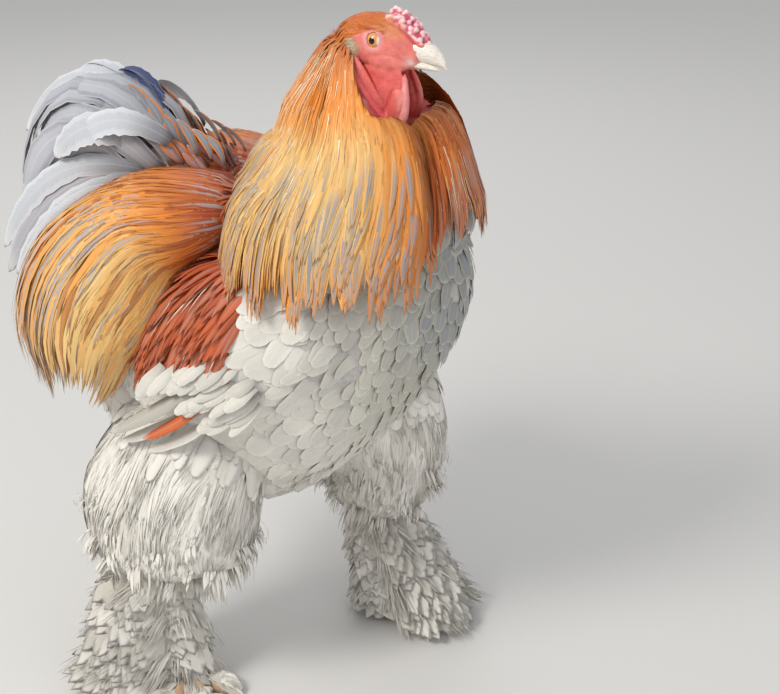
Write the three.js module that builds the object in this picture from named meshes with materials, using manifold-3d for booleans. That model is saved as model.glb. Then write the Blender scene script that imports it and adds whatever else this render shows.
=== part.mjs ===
// A brahma cock, life size, standing still with its left foot forward, as a museum model shows it.
// Millimetres. +X is the way the body faces, +Y is the bird's left, +Z is up, and the soles are on Z = 0.
import * as THREE from "three";
import { mergeVertices } from "three/addons/utils/BufferGeometryUtils.js";
import Module from "manifold-3d";

const wasm = await Module();
wasm.setup();

// Driving dimensions
const gap = 0.35; // between pieces that touch
const hock = { right: [-76, -102, 134], left: [58, 101, 122] };
const ankle = { right: [-68, -103, 22], left: [90, 96, 22] };
const footTurn = { right: -35, left: -4 }; // degrees, to the bird's left
const headPlace = { at: [118, -2, 673], turn: -8, nod: 2 };

// Key sections of each form: centre x, y, z, then half width sideways and half depth in the upright plane.
const torsoKeys = [
  [-196, 0, 356, 42, 60],
  [-160, 0, 354, 86, 118],
  [-112, 0, 354, 112, 152],
  [-52, 0, 353, 128, 168],
  [5, 0, 359, 132, 169],
  [62, 0, 376, 127, 156],
  [112, 0, 398, 110, 134],
  [150, 0, 420, 90, 108],
  [180, 0, 442, 66, 80],
  [204, 0, 456, 38, 50],
];
// The outer lie of the neck hackle, out to its feather tips.
const hackleKeys = [
  [90, 0, 674, 20, 24],
  [90, 2, 648, 34, 38],
  [94, 5, 615, 56, 62],
  [100, 5, 580, 78, 92],
  [98, 3, 540, 101, 112],
  [95, 0, 500, 122, 120],
  [98, 0, 465, 138, 116],
  [100, 0, 432, 146, 112],
];
const wingKeys = [
  [120, 86, 440, 36, 44],
  [76, 92, 424, 52, 72],
  [20, 94, 402, 60, 90],
  [-40, 98, 366, 54, 78],
  [-86, 106, 326, 42, 50],
  [-112, 110, 300, 32, 28],
];
const saddleKeys = [
  [10, 36, 524, 44, 24],
  [-40, 50, 516, 62, 40],
  [-88, 74, 490, 68, 56],
  [-120, 102, 448, 58, 72],
  [-136, 120, 404, 44, 64],
  [-140, 128, 364, 28, 42],
];
const tailKeys = [
  [-92, 0, 505, 36, 44],
  [-126, 0, 550, 50, 48],
  [-166, 0, 570, 60, 52],
  [-200, 0, 555, 66, 50],
  [-228, 0, 510, 64, 38],
  [-240, 0, 460, 54, 20],
];

// A closed geometry as a solid, its faces turned outwards.
function solidOf(geometry) {
  const bare = new THREE.BufferGeometry();
  bare.setAttribute("position", geometry.getAttribute("position").clone());
  bare.setIndex(geometry.index);
  const merged = mergeVertices(bare, 1e-4);
  const points = merged.getAttribute("position").array;
  const index = merged.index.array;
  const corners = [];
  let volume = 0;
  const [a, b, c] = [new THREE.Vector3(), new THREE.Vector3(), new THREE.Vector3()];
  for (let i = 0; i < index.length; i += 3) {
    const [p, q, r] = index.subarray(i, i + 3);
    if (p === q || q === r || r === p) continue;
    corners.push(p, q, r);
    a.fromArray(points, 3 * p);
    b.fromArray(points, 3 * q);
    c.fromArray(points, 3 * r);
    volume += a.dot(b.cross(c));
  }
  if (volume < 0) corners.reverse();
  return new wasm.Manifold(
    new wasm.Mesh({ numProp: 3, vertProperties: points, triVerts: new Uint32Array(corners) }),
  );
}

// The largest closed surface of a solid, so that sealed hollows fill and scraps drop.
function largest(solid) {
  return solid.decompose().reduce((best, piece) => (piece.volume() > best.volume() ? piece : best));
}

function joined(...solids) {
  return largest(wasm.Manifold.union(solids.flat()));
}

function cut(solid, ...others) {
  return largest(others.flat().reduce((left, other) => left.subtract(other), solid));
}

// A rounded form along a smooth line through its key sections, with round ends.
class Form {
  constructor(keys, { ends = [0.15, 0.15], folds = [0, 0], facing = null, sides = 20, rings = 14 } = {}) {
    this.line = new THREE.CatmullRomCurve3(
      keys.map(([x, y, z]) => new THREE.Vector3(x, y, z)),
      false,
      "catmullrom",
    );
    this.size = new THREE.CatmullRomCurve3(
      keys.map(([, , , wide, deep]) => new THREE.Vector3(wide, deep, 0)),
      false,
      "catmullrom",
    );
    Object.assign(this, { ends, folds, facing, sides, rings });
  }
  // How near a place is to each end: nothing in the middle, and 1 at the very end.
  nearEnds(along) {
    const near = (distance, end) => (end ? Math.max(0, 1 - distance / end) : 0);
    return [near(along, this.ends[0]), near(1 - along, this.ends[1])];
  }
  // The form narrows to nothing over its two ends, as a ball does.
  narrowing(along) {
    const [first, last] = this.nearEnds(along);
    return Math.sqrt(Math.max(0, 1 - first * first)) * Math.sqrt(Math.max(0, 1 - last * last));
  }
  // Angle 0 is the left side and a quarter turn is the upper or front side.
  bare(along, angle) {
    const tangent = this.facing ?? this.line.getTangent(along);
    const side = new THREE.Vector3(0, 1, 0).addScaledVector(tangent, -tangent.y).normalize();
    const front = tangent.clone().cross(side);
    const { x: wide, y: deep } = this.size.getPoint(along);
    const [count, depth] = this.folds;
    const narrow = this.narrowing(along) * (1 + depth * Math.cos(count * angle));
    return this.line
      .getPoint(along)
      .addScaledVector(side, wide * narrow * Math.cos(angle))
      .addScaledVector(front, deep * narrow * Math.sin(angle));
  }
  normal(along, angle) {
    const step = 0.004;
    const tangent = this.line.getTangent(along);
    if (along < step) return tangent.negate();
    if (along > 1 - step) return tangent;
    const down = this.bare(along + step, angle).sub(this.bare(along - step, angle));
    const round = this.bare(along, angle + 0.02).sub(this.bare(along, angle - 0.02));
    const out = down.cross(round).normalize();
    return out.dot(this.bare(along, angle).sub(this.line.getPoint(along))) < 0 ? out.negate() : out;
  }
  surface(along, angle, lift = 0) {
    const point = this.bare(along, angle);
    return lift ? point.addScaledVector(this.normal(along, angle), lift) : point;
  }
  // Away from the line, and along it at the two ends, so that a grown form holds the bare one all over.
  outward(along, angle) {
    const [first, last] = this.nearEnds(along);
    const away = this.bare(along, angle).sub(this.line.getPoint(along));
    const round = Math.sqrt(Math.max(0, 1 - Math.max(first, last) ** 2));
    return away
      .setLength(round)
      .addScaledVector(this.line.getTangent(along), last - first)
      .normalize();
  }
  solid(grow = 0) {
    const ball = new THREE.SphereGeometry(1, this.sides, this.rings);
    const place = ball.getAttribute("position");
    const grid = ball.getAttribute("uv");
    for (let i = 0; i < place.count; i++) {
      const row = Math.round((1 - grid.getY(i)) * this.rings);
      const pole = row === 0 || row === this.rings;
      const turn = pole ? 0 : (Math.round(grid.getX(i) * this.sides) % this.sides) / this.sides;
      const along = (1 - Math.cos((Math.PI * row) / this.rings)) / 2;
      const point = this.bare(along, 2 * Math.PI * turn);
      if (grow) point.addScaledVector(this.outward(along, 2 * Math.PI * turn), grow);
      place.setXYZ(i, point.x, point.y, point.z);
    }
    return solidOf(ball);
  }
}

// Key sections drawn in by the coat's depth and ended part of the way along.
function drawnIn(keys, depth, share = 1) {
  const count = Math.round(keys.length * share);
  return keys.slice(0, count).map(([x, y, z, wide, deep]) => [
    x,
    y,
    z,
    Math.max(wide - depth, wide / 2),
    Math.max(deep - depth, deep / 2),
  ]);
}

// A thin closed sheet, its grid split alike on both faces and its rows closer towards the tip.
// place gives the point at a share of the width and the length, and the way the face looks there.
function sheet(columns, rows, place, thick) {
  const plane = new THREE.PlaneGeometry(1, 1, columns, rows);
  const grid = plane.getAttribute("uv");
  const count = grid.count;
  const points = new Float32Array(6 * count);
  for (let i = 0; i < count; i++) {
    const { point, out } = place(2 * grid.getX(i) - 1, 1 - grid.getY(i) ** 1.35);
    for (const [layer, way] of [[0, 0.5], [1, -0.5]]) {
      point.clone().addScaledVector(out, way * thick).toArray(points, 3 * (i + layer * count));
    }
  }
  const index = [...plane.index.array];
  const faces = [...index, ...index.map((i) => i + count).reverse()];
  const at = (column, row) => row * (columns + 1) + column;
  const edge = [];
  for (let row = 0; row < rows; row++) edge.push(at(0, row));
  for (let column = 0; column < columns; column++) edge.push(at(column, rows));
  for (let row = rows; row > 0; row--) edge.push(at(columns, row));
  for (let column = columns; column > 0; column--) edge.push(at(column, 0));
  edge.forEach((a, i) => {
    const b = edge[(i + 1) % edge.length];
    faces.push(b, a, a + count, b, a + count, b + count);
  });
  const geometry = new THREE.BufferGeometry();
  geometry.setAttribute("position", new THREE.BufferAttribute(points, 3));
  geometry.setIndex(faces);
  return solidOf(geometry);
}

// Outlines of a vane from root to tip, as shares of its half width: pointed, and round at the tip.
const pointed = (q) => Math.min(1, 0.6 + 1.3 * q) * Math.sqrt(Math.max(0, 1 - q ** 2.6));
const rounded = (q) => Math.min(1, 0.55 + 1.1 * q) * Math.sqrt(Math.max(0, 1 - 0.86 * q ** 6));

// A vane along a path, its broad face looking the way that out tells.
function vane(path, out, { wide, outline = pointed, thick = 1.2, grow = 0 }) {
  const step = 0.02;
  const place = (across, q) => {
    const along = path(Math.min(1, q + step)).sub(path(Math.max(0, q - step))).normalize();
    const sideways = out(q).clone().cross(along).normalize();
    const face = along.clone().cross(sideways);
    const reach = across * (wide * outline(q) + (q < 1 ? grow : 0));
    const past = grow * (q >= 1 ? 1 : 0);
    const point = path(q).addScaledVector(sideways, reach).addScaledVector(along, past);
    return { point, out: face };
  };
  return sheet(1, 3, place, thick + 2 * grow);
}

// A vane laid on a form from one place to another at a steady angle, its root sunk in the core below.
function laidVane(form, { from, to, angle, half, outline = pointed, sunk, lift, thick = 1.2, grow = 0 }) {
  const place = (across, q) => {
    const along = from + (to - from) * q;
    const radius = form.bare(along, angle).distanceTo(form.line.getPoint(along));
    const turn = angle + across * (half * outline(q) + grow / radius);
    const height = q < 0.35 ? -sunk * (1 - q / 0.35) : lift * ((q - 0.35) / 0.65);
    return { point: form.surface(along, turn, height), out: form.normal(along, turn) };
  };
  return sheet(1, 3, place, thick + 2 * grow);
}

// Tiers of vanes over a form. In a tier each vane has its own share of the round, so that neighbours
// never cross, and every tier starts half a share on and tips out over the roots of the one below.
function coat(form, tiers, grow = 0) {
  return tiers.flatMap(({ count, angles, roots, tips, sunk = 13, lift = 6, outline }, tier) =>
    Array.from({ length: count }, (_, i) => {
      const [start, end] = angles.map(THREE.MathUtils.degToRad);
      const angle = start + ((end - start) * (i + 0.5)) / count;
      const uneven = 0.014 * (((i * 5 + tier * 3) % 4) - 1.5);
      return laidVane(form, {
        from: roots(angle),
        to: Math.min(tips(angle) + uneven, 0.995),
        angle,
        half: (0.47 * (end - start)) / count,
        outline,
        sunk,
        lift,
        grow,
      });
    }),
  );
}

// A free feather along an arc through three points.
function plume(start, middle, end, out, shape) {
  const arc = new THREE.QuadraticBezierCurve3(
    new THREE.Vector3(...start),
    new THREE.Vector3(...middle),
    new THREE.Vector3(...end),
  );
  const facing = new THREE.Vector3(...out).normalize();
  return vane((q) => arc.getPoint(q), () => facing, shape);
}

function ball([x, y, z], [rx, ry, rz], grow = 0, sides = 12, rings = 8) {
  const round = new THREE.SphereGeometry(1, sides, rings);
  round.scale(rx + grow, ry + grow, rz + grow);
  round.translate(x, y, z);
  return solidOf(round);
}

// Head, in its own frame: origin midway between the eyes, +X towards the beak.
const headMatrix = new THREE.Matrix4().compose(
  new THREE.Vector3(...headPlace.at),
  new THREE.Quaternion().setFromEuler(
    new THREE.Euler(
      0,
      THREE.MathUtils.degToRad(headPlace.nod),
      THREE.MathUtils.degToRad(headPlace.turn),
      "ZYX",
    ),
  ),
  new THREE.Vector3(1, 1, 1),
);
const onNeck = (solid) => solid.transform(headMatrix.elements);

const eye = { at: [2, 13.2, 0], radius: 8.2 };
const ear = { at: [-19, 19.5, -8] };
const skull = new Form(
  [
    [-38, 0, -12, 15, 17],
    [-22, 0, -6, 21, 23],
    [-2, 0, -4, 21, 25],
    [18, 0, -7, 18, 22],
    [34, 0, -11, 13, 15],
    [42, 0, -11, 9, 11],
  ],
  { ends: [0.25, 0.12], sides: 14, rings: 9 },
);
const upperBeakForm = new Form(
  [
    [26, 0, -5, 10.5, 11],
    [40, 0, -6, 9, 10.5],
    [52, 0, -9, 6.8, 8.4],
    [59.5, 0, -14.5, 4, 5.4],
    [63, 0, -21.5, 1.5, 2],
  ],
  { ends: [0.1, 0.25], sides: 10, rings: 8 },
);
const lowerBeakForm = new Form(
  [
    [24, 0, -18, 9, 5],
    [40, 0, -18.5, 7.5, 4.5],
    [51, 0, -20, 4.5, 3.2],
    [57, 0, -21, 2, 1.6],
  ],
  { ends: [0.1, 0.25], sides: 8, rings: 6 },
);

function eyeBall(side, grow = 0) {
  const [x, y, z] = eye.at;
  return ball([x, side * y, z], [eye.radius, eye.radius, eye.radius], grow, 12, 7);
}

// Skull, lids, cheeks and ear rims as one piece.
function fleshOfHead(grow = 0) {
  const pieces = [skull.solid(grow)];
  for (const side of [1, -1]) {
    const lids = new THREE.TorusGeometry(7.4, 1.9 + grow, 4, 11);
    lids.rotateX(Math.PI / 2);
    lids.translate(eye.at[0], side * 19.2, eye.at[2]);
    const earRim = new THREE.TorusGeometry(5.2, 1.7 + grow, 4, 8);
    earRim.rotateX(Math.PI / 2);
    earRim.translate(ear.at[0], side * ear.at[1], ear.at[2]);
    pieces.push(solidOf(lids), solidOf(earRim));
    pieces.push(ball([10, side * 12, -17], [22, 8, 11], grow, 9, 6));
  }
  return joined(pieces);
}

// The ear cups and the line of the mouth are cut into the flesh.
function headSolid() {
  const mouth = new THREE.BoxGeometry(26, 60, 1.2);
  mouth.rotateY(THREE.MathUtils.degToRad(6));
  mouth.translate(26, 0, -17.5);
  return cut(
    fleshOfHead(),
    ...[1, -1].map((side) => eyeBall(side, gap)),
    ...[1, -1].map((side) => ball([ear.at[0], side * (ear.at[1] + 2.5), ear.at[2]], [3.8, 6, 3.8], 0, 6, 4)),
    solidOf(mouth),
    upperBeakForm.solid(gap),
    lowerBeakForm.solid(gap),
  );
}

// Three low ridges of rounded knobs, the middle one the highest.
function combSolid() {
  const ridge = (knobs, y, height, start, end) => {
    const keys = Array.from({ length: 2 * knobs + 1 }, (_, i) => {
      const share = i / (2 * knobs);
      const rise = height * Math.sin(Math.PI * (0.2 + 0.62 * share)) * (i % 2 ? 1 : 0.62);
      const x = start + (end - start) * share;
      return [x, y * (1 - 0.3 * share), 14 - 17 * share ** 1.6, 3 + (i % 2), rise + 4];
    });
    return new Form(keys, { ends: [0.08, 0.08], sides: 6, rings: 4 * knobs - 4 }).solid();
  };
  return cut(
    joined(ridge(4, 0, 16, 9, 44), ridge(3, 6.4, 10.5, 11, 42), ridge(3, -6.4, 10.5, 11, 42)),
    skull.solid(gap),
    upperBeakForm.solid(gap),
  );
}

function upperBeakSolid() {
  const nostrils = [1, -1].map((side) => ball([36, side * 9, -6], [4.2, 3.2, 1.5], 0, 6, 4));
  return cut(upperBeakForm.solid(), lowerBeakForm.solid(gap), ...nostrils);
}

function wattleForm(side) {
  return new Form(
    [
      [14, side * 13, -20, 3.2, 15],
      [15, side * 15.5, -38, 3.4, 18],
      [19, side * 16, -56, 3.2, 15],
      [21, side * 14, -72, 2.6, 9],
    ],
    { ends: [0.15, 0.3], folds: [6, 0.16], sides: 12, rings: 6 },
  );
}

function lobeForm(side) {
  return new Form(
    [
      [-25, side * 20, -14, 3, 5],
      [-16, side * 22, -32, 3.4, 6.5],
      [-4, side * 21, -50, 3.2, 6],
      [6, side * 19, -63, 2.4, 4],
    ],
    { ends: [0.2, 0.3], sides: 8, rings: 7 },
  );
}

// Body forms
const torso = new Form(torsoKeys, {
  ends: [0.1, 0.1],
  facing: new THREE.Vector3(1, 0, 0),
  sides: 20,
  rings: 13,
});
const hackleCore = new Form(drawnIn(hackleKeys, 9, 0.85), { ends: [0.06, 0.2], sides: 16, rings: 8 });
const hackleLie = new Form(hackleKeys, { ends: [0.06, 0] });

// How far down the hackle reaches: lowest at the sides, higher over the breast and the back.
const hackleHem = (angle) => {
  const ahead = Math.sin(angle);
  return 0.94 - (ahead > 0 ? 0.15 : 0.36) * ahead ** 2;
};

function hackle(grow = 0) {
  const overThroat = (a) => 0.26 * Math.max(0, Math.sin(a)) ** 2;
  const tiers = [
    { count: 20, angles: [0, 360], roots: (a) => hackleHem(a) - 0.4, tips: hackleHem },
    {
      count: 14,
      angles: [8, 368],
      roots: (a) => Math.max(0.14, hackleHem(a) - 0.6 + overThroat(a)),
      tips: (a) => hackleHem(a) - 0.2,
    },
    { count: 7, angles: [150, 390], roots: () => 0.1, tips: (a) => Math.max(0.34, hackleHem(a) - 0.36) },
  ];
  return joined(hackleCore.solid(grow), coat(hackleLie, tiers, grow));
}

function thighForm(side) {
  const keys =
    side < 0
      ? [
          [-30, -70, 318, 48, 66],
          [-50, -88, 272, 58, 80],
          [-68, -102, 218, 62, 92],
          [-76, -104, 172, 56, 84],
          [-74, -102, 134, 44, 62],
        ]
      : [
          [62, 70, 320, 50, 66],
          [70, 90, 270, 58, 72],
          [72, 104, 215, 58, 72],
          [66, 104, 165, 52, 62],
          [58, 101, 118, 38, 44],
        ];
  return new Form(keys, { ends: [0.2, 0.25], sides: 14, rings: 9 });
}

function shankForm(side) {
  const [top, low] = side < 0 ? [hock.right, ankle.right] : [hock.left, ankle.left];
  const at = (share, wide, deep) => [
    ...top.map((value, i) => value + (low[i] - value) * share),
    wide,
    deep,
  ];
  return new Form([at(-0.15, 17, 18), at(0.2, 15, 17), at(0.6, 15, 18), at(1, 15, 17), at(1.12, 14, 15)], {
    ends: [0.15, 0.15],
    sides: 8,
    rings: 5,
  });
}

// The folded wing lies along the body's side. Its rows of feathers run to the rear.
const wingLie = new Form(wingKeys, { ends: [0.2, 0] });
const wingCore = new Form(drawnIn(wingKeys, 7, 0.84), { ends: [0.2, 0.35], sides: 10, rings: 8 });

function wing(grow = 0) {
  const row = (count, low, high, root, tip) => ({
    count,
    angles: [low, high],
    roots: () => root,
    tips: () => tip,
    sunk: 11,
    outline: rounded,
  });
  const rows = [
    row(5, -30, 50, 0.58, 0.99),
    row(6, -45, 60, 0.44, 0.82),
    row(5, -50, 62, 0.26, 0.6),
    row(4, -30, 66, 0.08, 0.42),
  ];
  return joined(wingCore.solid(grow), coat(wingLie, rows, grow));
}

// The saddle is a curtain on each side of the rump, of long pointed feathers.
const saddleLie = new Form(saddleKeys, { ends: [0.2, 0] });
const saddleCore = new Form(drawnIn(saddleKeys, 9, 0.67), { ends: [0.2, 0.4], sides: 12, rings: 8 });

function saddle(grow = 0) {
  const fringe = (a) => 0.95 - 0.04 * Math.cos(2 * a);
  const tiers = [
    { count: 9, angles: [-140, 80], roots: () => 0.4, tips: fringe },
    { count: 7, angles: [-150, 74], roots: () => 0.2, tips: (a) => fringe(a) - 0.2 },
    { count: 4, angles: [-145, 60], roots: () => 0.1, tips: (a) => fringe(a) - 0.44 },
  ];
  return joined(saddleCore.solid(grow), coat(saddleLie, tiers, grow));
}

// Sickles and their coverts rise from the rump and curl over to the rear.
const tailLie = new Form(tailKeys, { ends: [0.12, 0] });
const tailCore = new Form(drawnIn(tailKeys, 10, 0.67), { ends: [0.12, 0.4], sides: 12, rings: 8 });

function tail(grow = 0) {
  const tiers = [
    { count: 7, angles: [170, 370], roots: () => 0.36, tips: () => 0.98, outline: rounded },
    { count: 6, angles: [170, 370], roots: () => 0.18, tips: () => 0.74, outline: rounded },
    { count: 5, angles: [165, 375], roots: () => 0.04, tips: () => 0.5, outline: rounded },
    { count: 3, angles: [45, 135], roots: () => 0.3, tips: () => 0.76, sunk: 18, lift: 0, outline: rounded },
  ];
  return joined(tailCore.solid(grow), coat(tailLie, tiers, grow));
}

// Everything below the floor, which flattens the soles and the claws.
const below = new THREE.BoxGeometry(900, 900, 100);
below.translate(0, 0, -50);
const ground = solidOf(below);

// Long soft feathers fan out from each shank, to the rear and outwards on the right and forwards on the left.
const shankFan = { right: 190, left: 18 }; // degrees, the middle of the fan
function shankSolid(side, grow = 0) {
  const [top, low, middle] = side < 0
    ? [hock.right, ankle.right, shankFan.right]
    : [hock.left, ankle.left, shankFan.left];
  const feathers = [];
  for (let rank = 0; rank < 3; rank++) {
    const start = top.map((value, i) => value + (low[i] - value) * (0.3 + 0.22 * rank));
    for (const place of [-1, 0, 1]) {
      const turn = THREE.MathUtils.degToRad(middle + place * 34 + (rank % 2) * 12);
      const reach = 78 + 15 * rank - 12 * Math.abs(place);
      const at = (share, rise) => [
        start[0] + share * reach * Math.cos(turn),
        start[1] + share * reach * Math.sin(turn),
        start[2] + rise,
      ];
      const shape = { wide: 13, outline: rounded, grow };
      feathers.push(plume(at(0, 0), at(0.5, 12), at(1, -14), [0, 0, 1], shape));
    }
  }
  return joined(shankForm(side).solid(grow), feathers);
}

const toes = [
  { name: "inner", turn: 32, length: 56 },
  { name: "middle", turn: 0, length: 76 },
  { name: "outer", turn: -34, length: 62 },
  { name: "hind", turn: 168, length: 34 },
];

function toeTurn(side, toe) {
  const foot = side < 0 ? footTurn.right : footTurn.left;
  return THREE.MathUtils.degToRad(foot - side * toe.turn);
}

function toeLine(side, toe) {
  const [x, y] = side < 0 ? ankle.right : ankle.left;
  const turn = toeTurn(side, toe);
  return (reach, height, wide, deep) => [
    x + reach * Math.cos(turn),
    y + reach * Math.sin(turn),
    height,
    wide,
    deep,
  ];
}

// A toe is round above and flat where it stands on the floor.
function toeForm(side, toe) {
  const at = toeLine(side, toe);
  return new Form(
    [
      at(0, 12, 11, 13),
      at(toe.length * 0.35, 9.5, 9.5, 11),
      at(toe.length * 0.75, 7.8, 8.4, 9.4),
      at(toe.length, 6.6, 7, 8),
    ],
    { ends: [0.1, 0.15], sides: 8, rings: 4 },
  );
}

function clawForm(side, toe) {
  const at = toeLine(side, toe);
  const start = toe.length - 5;
  return new Form(
    [
      at(start, 8, 4.2, 4.6),
      at(start + 9, 8.4, 3.4, 3.8),
      at(start + 16, 6.4, 2.2, 2.6),
      at(start + 22, 3, 0.9, 1.1),
    ],
    { ends: [0.1, 0.2], sides: 5, rings: 4 },
  );
}

function footSolid(side) {
  const [x, y] = side < 0 ? ankle.right : ankle.left;
  const pieces = [ball([x, y, 14], [17, 16, 16], 0, 8, 5), ...toes.map((toe) => toeForm(side, toe).solid())];
  for (const toe of toes.slice(1, 3)) {
    for (const share of [0.35, 0.7]) {
      const [x, y] = toeLine(side, toe)(toe.length * share, 0);
      const way = toeTurn(side, toe) + side * THREE.MathUtils.degToRad(toe.name === "outer" ? 75 : 40);
      const reach = toe.name === "outer" ? 54 : 30;
      const at = (part, z) => [x + part * reach * Math.cos(way), y + part * reach * Math.sin(way), z];
      pieces.push(plume(at(0, 9), at(0.5, 24), at(1, 5), [0, 0, 1], { wide: 9, outline: rounded }));
    }
  }
  const claws = toes.map((toe) => clawForm(side, toe).solid(gap));
  return cut(joined(pieces), ground, shankSolid(side, gap), ...claws);
}

// Colours, roughness and metalness of the finishes.
const finishes = {
  lavender: new THREE.MeshStandardMaterial({ color: 0xcfccc9, roughness: 0.7, metalness: 0 }),
  gold: new THREE.MeshStandardMaterial({ color: 0xd98a3a, roughness: 0.55, metalness: 0 }),
  face: new THREE.MeshStandardMaterial({ color: 0xd9605c, roughness: 0.55, metalness: 0 }),
  horn: new THREE.MeshStandardMaterial({ color: 0xe6dfcf, roughness: 0.4, metalness: 0 }),
  iris: new THREE.MeshStandardMaterial({ color: 0xd98a3c, roughness: 0.1, metalness: 0 }),
};

const model = new THREE.Group();

function addNode(name, solid, finish) {
  const { numProp, vertProperties, triVerts } = solid.getMesh();
  const geometry = new THREE.BufferGeometry();
  const points = new Float32Array((vertProperties.length / numProp) * 3);
  for (let i = 0; i < points.length / 3; i++) {
    points.set(vertProperties.subarray(i * numProp, i * numProp + 3), 3 * i);
  }
  geometry.setAttribute("position", new THREE.BufferAttribute(points, 3));
  geometry.setIndex(new THREE.BufferAttribute(triVerts, 1));
  geometry.computeVertexNormals();
  const mesh = new THREE.Mesh(geometry, finishes[finish]);
  mesh.name = name;
  model.add(mesh);
}

const sides = [
  ["right", -1],
  ["left", 1],
];

const head = onNeck(headSolid());
const headRoom = onNeck(fleshOfHead(gap));
const throat = onNeck(ball([36, 0, -50], [62, 44, 46], 0, 12, 8));
addNode("head", head, "face");
addNode("comb", onNeck(combSolid()), "face");
addNode("beak_lower", onNeck(lowerBeakForm.solid()), "horn");
addNode("beak_upper", onNeck(upperBeakSolid()), "horn");
for (const [word, side] of sides) {
  addNode("eye_" + word, onNeck(eyeBall(side)), "iris");
}

const acrossBird = new THREE.Matrix4().makeScale(1, -1, 1);
const onSide = (side, solid) => (side < 0 ? solid.transform(acrossBird.elements) : solid);

const torsoRoom = torso.solid(gap);
addNode("torso", torso.solid(), "lavender");
const lobesRoom = sides
  .flatMap(([, side]) => [wattleForm(side).solid(gap), lobeForm(side).solid(gap)])
  .map(onNeck);
addNode("neck", cut(hackle(), torsoRoom, headRoom, throat, ...lobesRoom), "gold");
const neckRoom = hackle(gap);
addNode("tail", cut(tail(), torsoRoom, neckRoom), "lavender");
const tailRoom = tail(gap);
const midline = new THREE.BoxGeometry(900, 200, 900);
midline.translate(0, -100 + gap / 2, 400);
const otherHalf = solidOf(midline);

for (const [word, side] of sides) {
  const halfSaddle = onSide(side, cut(saddle(), otherHalf));
  const saddleRoom = onSide(side, saddle(gap));
  addNode("saddle_" + word, cut(halfSaddle, torsoRoom, neckRoom, tailRoom), "gold");
  addNode("wing_" + word, cut(onSide(side, wing()), torsoRoom, neckRoom, saddleRoom), "lavender");
  const thighRoom = thighForm(side).solid(gap);
  const aboveThigh = [torsoRoom, saddleRoom, onSide(side, wing(gap))];
  addNode("thigh_" + word, cut(thighForm(side).solid(), ...aboveThigh), "lavender");
  addNode("shank_" + word, cut(shankSolid(side), thighRoom), "lavender");
  addNode("foot_" + word, footSolid(side), "lavender");
  for (const toe of toes) {
    addNode("claw_" + toe.name + "_" + word, cut(clawForm(side, toe).solid(), ground), "horn");
  }
  const wattle = cut(wattleForm(side).solid(), fleshOfHead(gap), lowerBeakForm.solid(gap));
  addNode("wattle_" + word, onNeck(wattle), "face");
  const lobe = cut(lobeForm(side).solid(), fleshOfHead(gap), wattleForm(side).solid(gap));
  addNode("earlobe_" + word, onNeck(lobe), "face");
}

// The origin lies under the middle of the bird's length and width.
const middle = new THREE.Box3().setFromObject(model).getCenter(new THREE.Vector3());
model.position.set(-middle.x, -middle.y, 0);

export default model;
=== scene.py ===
# A brahma cock as a museum shows it: one skin, a coat of feathers, eyes, beak and claws, round the frame.
import math
import bmesh
import bpy
import numpy as np
from mathutils import Euler, Matrix, Vector
from mathutils.bvhtree import BVHTree


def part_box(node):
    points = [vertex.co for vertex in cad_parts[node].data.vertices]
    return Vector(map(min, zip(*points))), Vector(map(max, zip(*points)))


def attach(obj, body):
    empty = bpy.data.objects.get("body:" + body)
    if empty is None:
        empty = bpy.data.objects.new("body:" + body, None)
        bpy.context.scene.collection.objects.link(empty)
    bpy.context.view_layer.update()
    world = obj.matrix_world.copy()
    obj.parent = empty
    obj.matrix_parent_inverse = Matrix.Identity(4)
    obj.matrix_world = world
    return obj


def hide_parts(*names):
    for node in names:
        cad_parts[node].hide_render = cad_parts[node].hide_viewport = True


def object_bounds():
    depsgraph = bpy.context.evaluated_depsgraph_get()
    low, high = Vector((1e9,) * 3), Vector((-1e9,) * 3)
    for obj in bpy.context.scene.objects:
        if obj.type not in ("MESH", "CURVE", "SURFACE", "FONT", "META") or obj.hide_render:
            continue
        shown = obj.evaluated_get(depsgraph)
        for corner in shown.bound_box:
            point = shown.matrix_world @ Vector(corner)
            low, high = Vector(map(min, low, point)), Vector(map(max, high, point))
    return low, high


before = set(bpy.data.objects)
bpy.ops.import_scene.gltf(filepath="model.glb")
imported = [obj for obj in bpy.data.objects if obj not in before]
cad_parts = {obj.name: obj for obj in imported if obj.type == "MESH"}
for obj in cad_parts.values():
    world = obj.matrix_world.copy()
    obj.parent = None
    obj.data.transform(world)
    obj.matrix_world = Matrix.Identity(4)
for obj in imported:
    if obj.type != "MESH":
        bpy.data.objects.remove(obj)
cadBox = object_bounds()
print("Frame loaded")

# Places on the bird are in millimetres: +x ahead, +y its left, +z up from the floor.
mm = 0.001
sides = {"right": -1, "left": 1}

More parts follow.
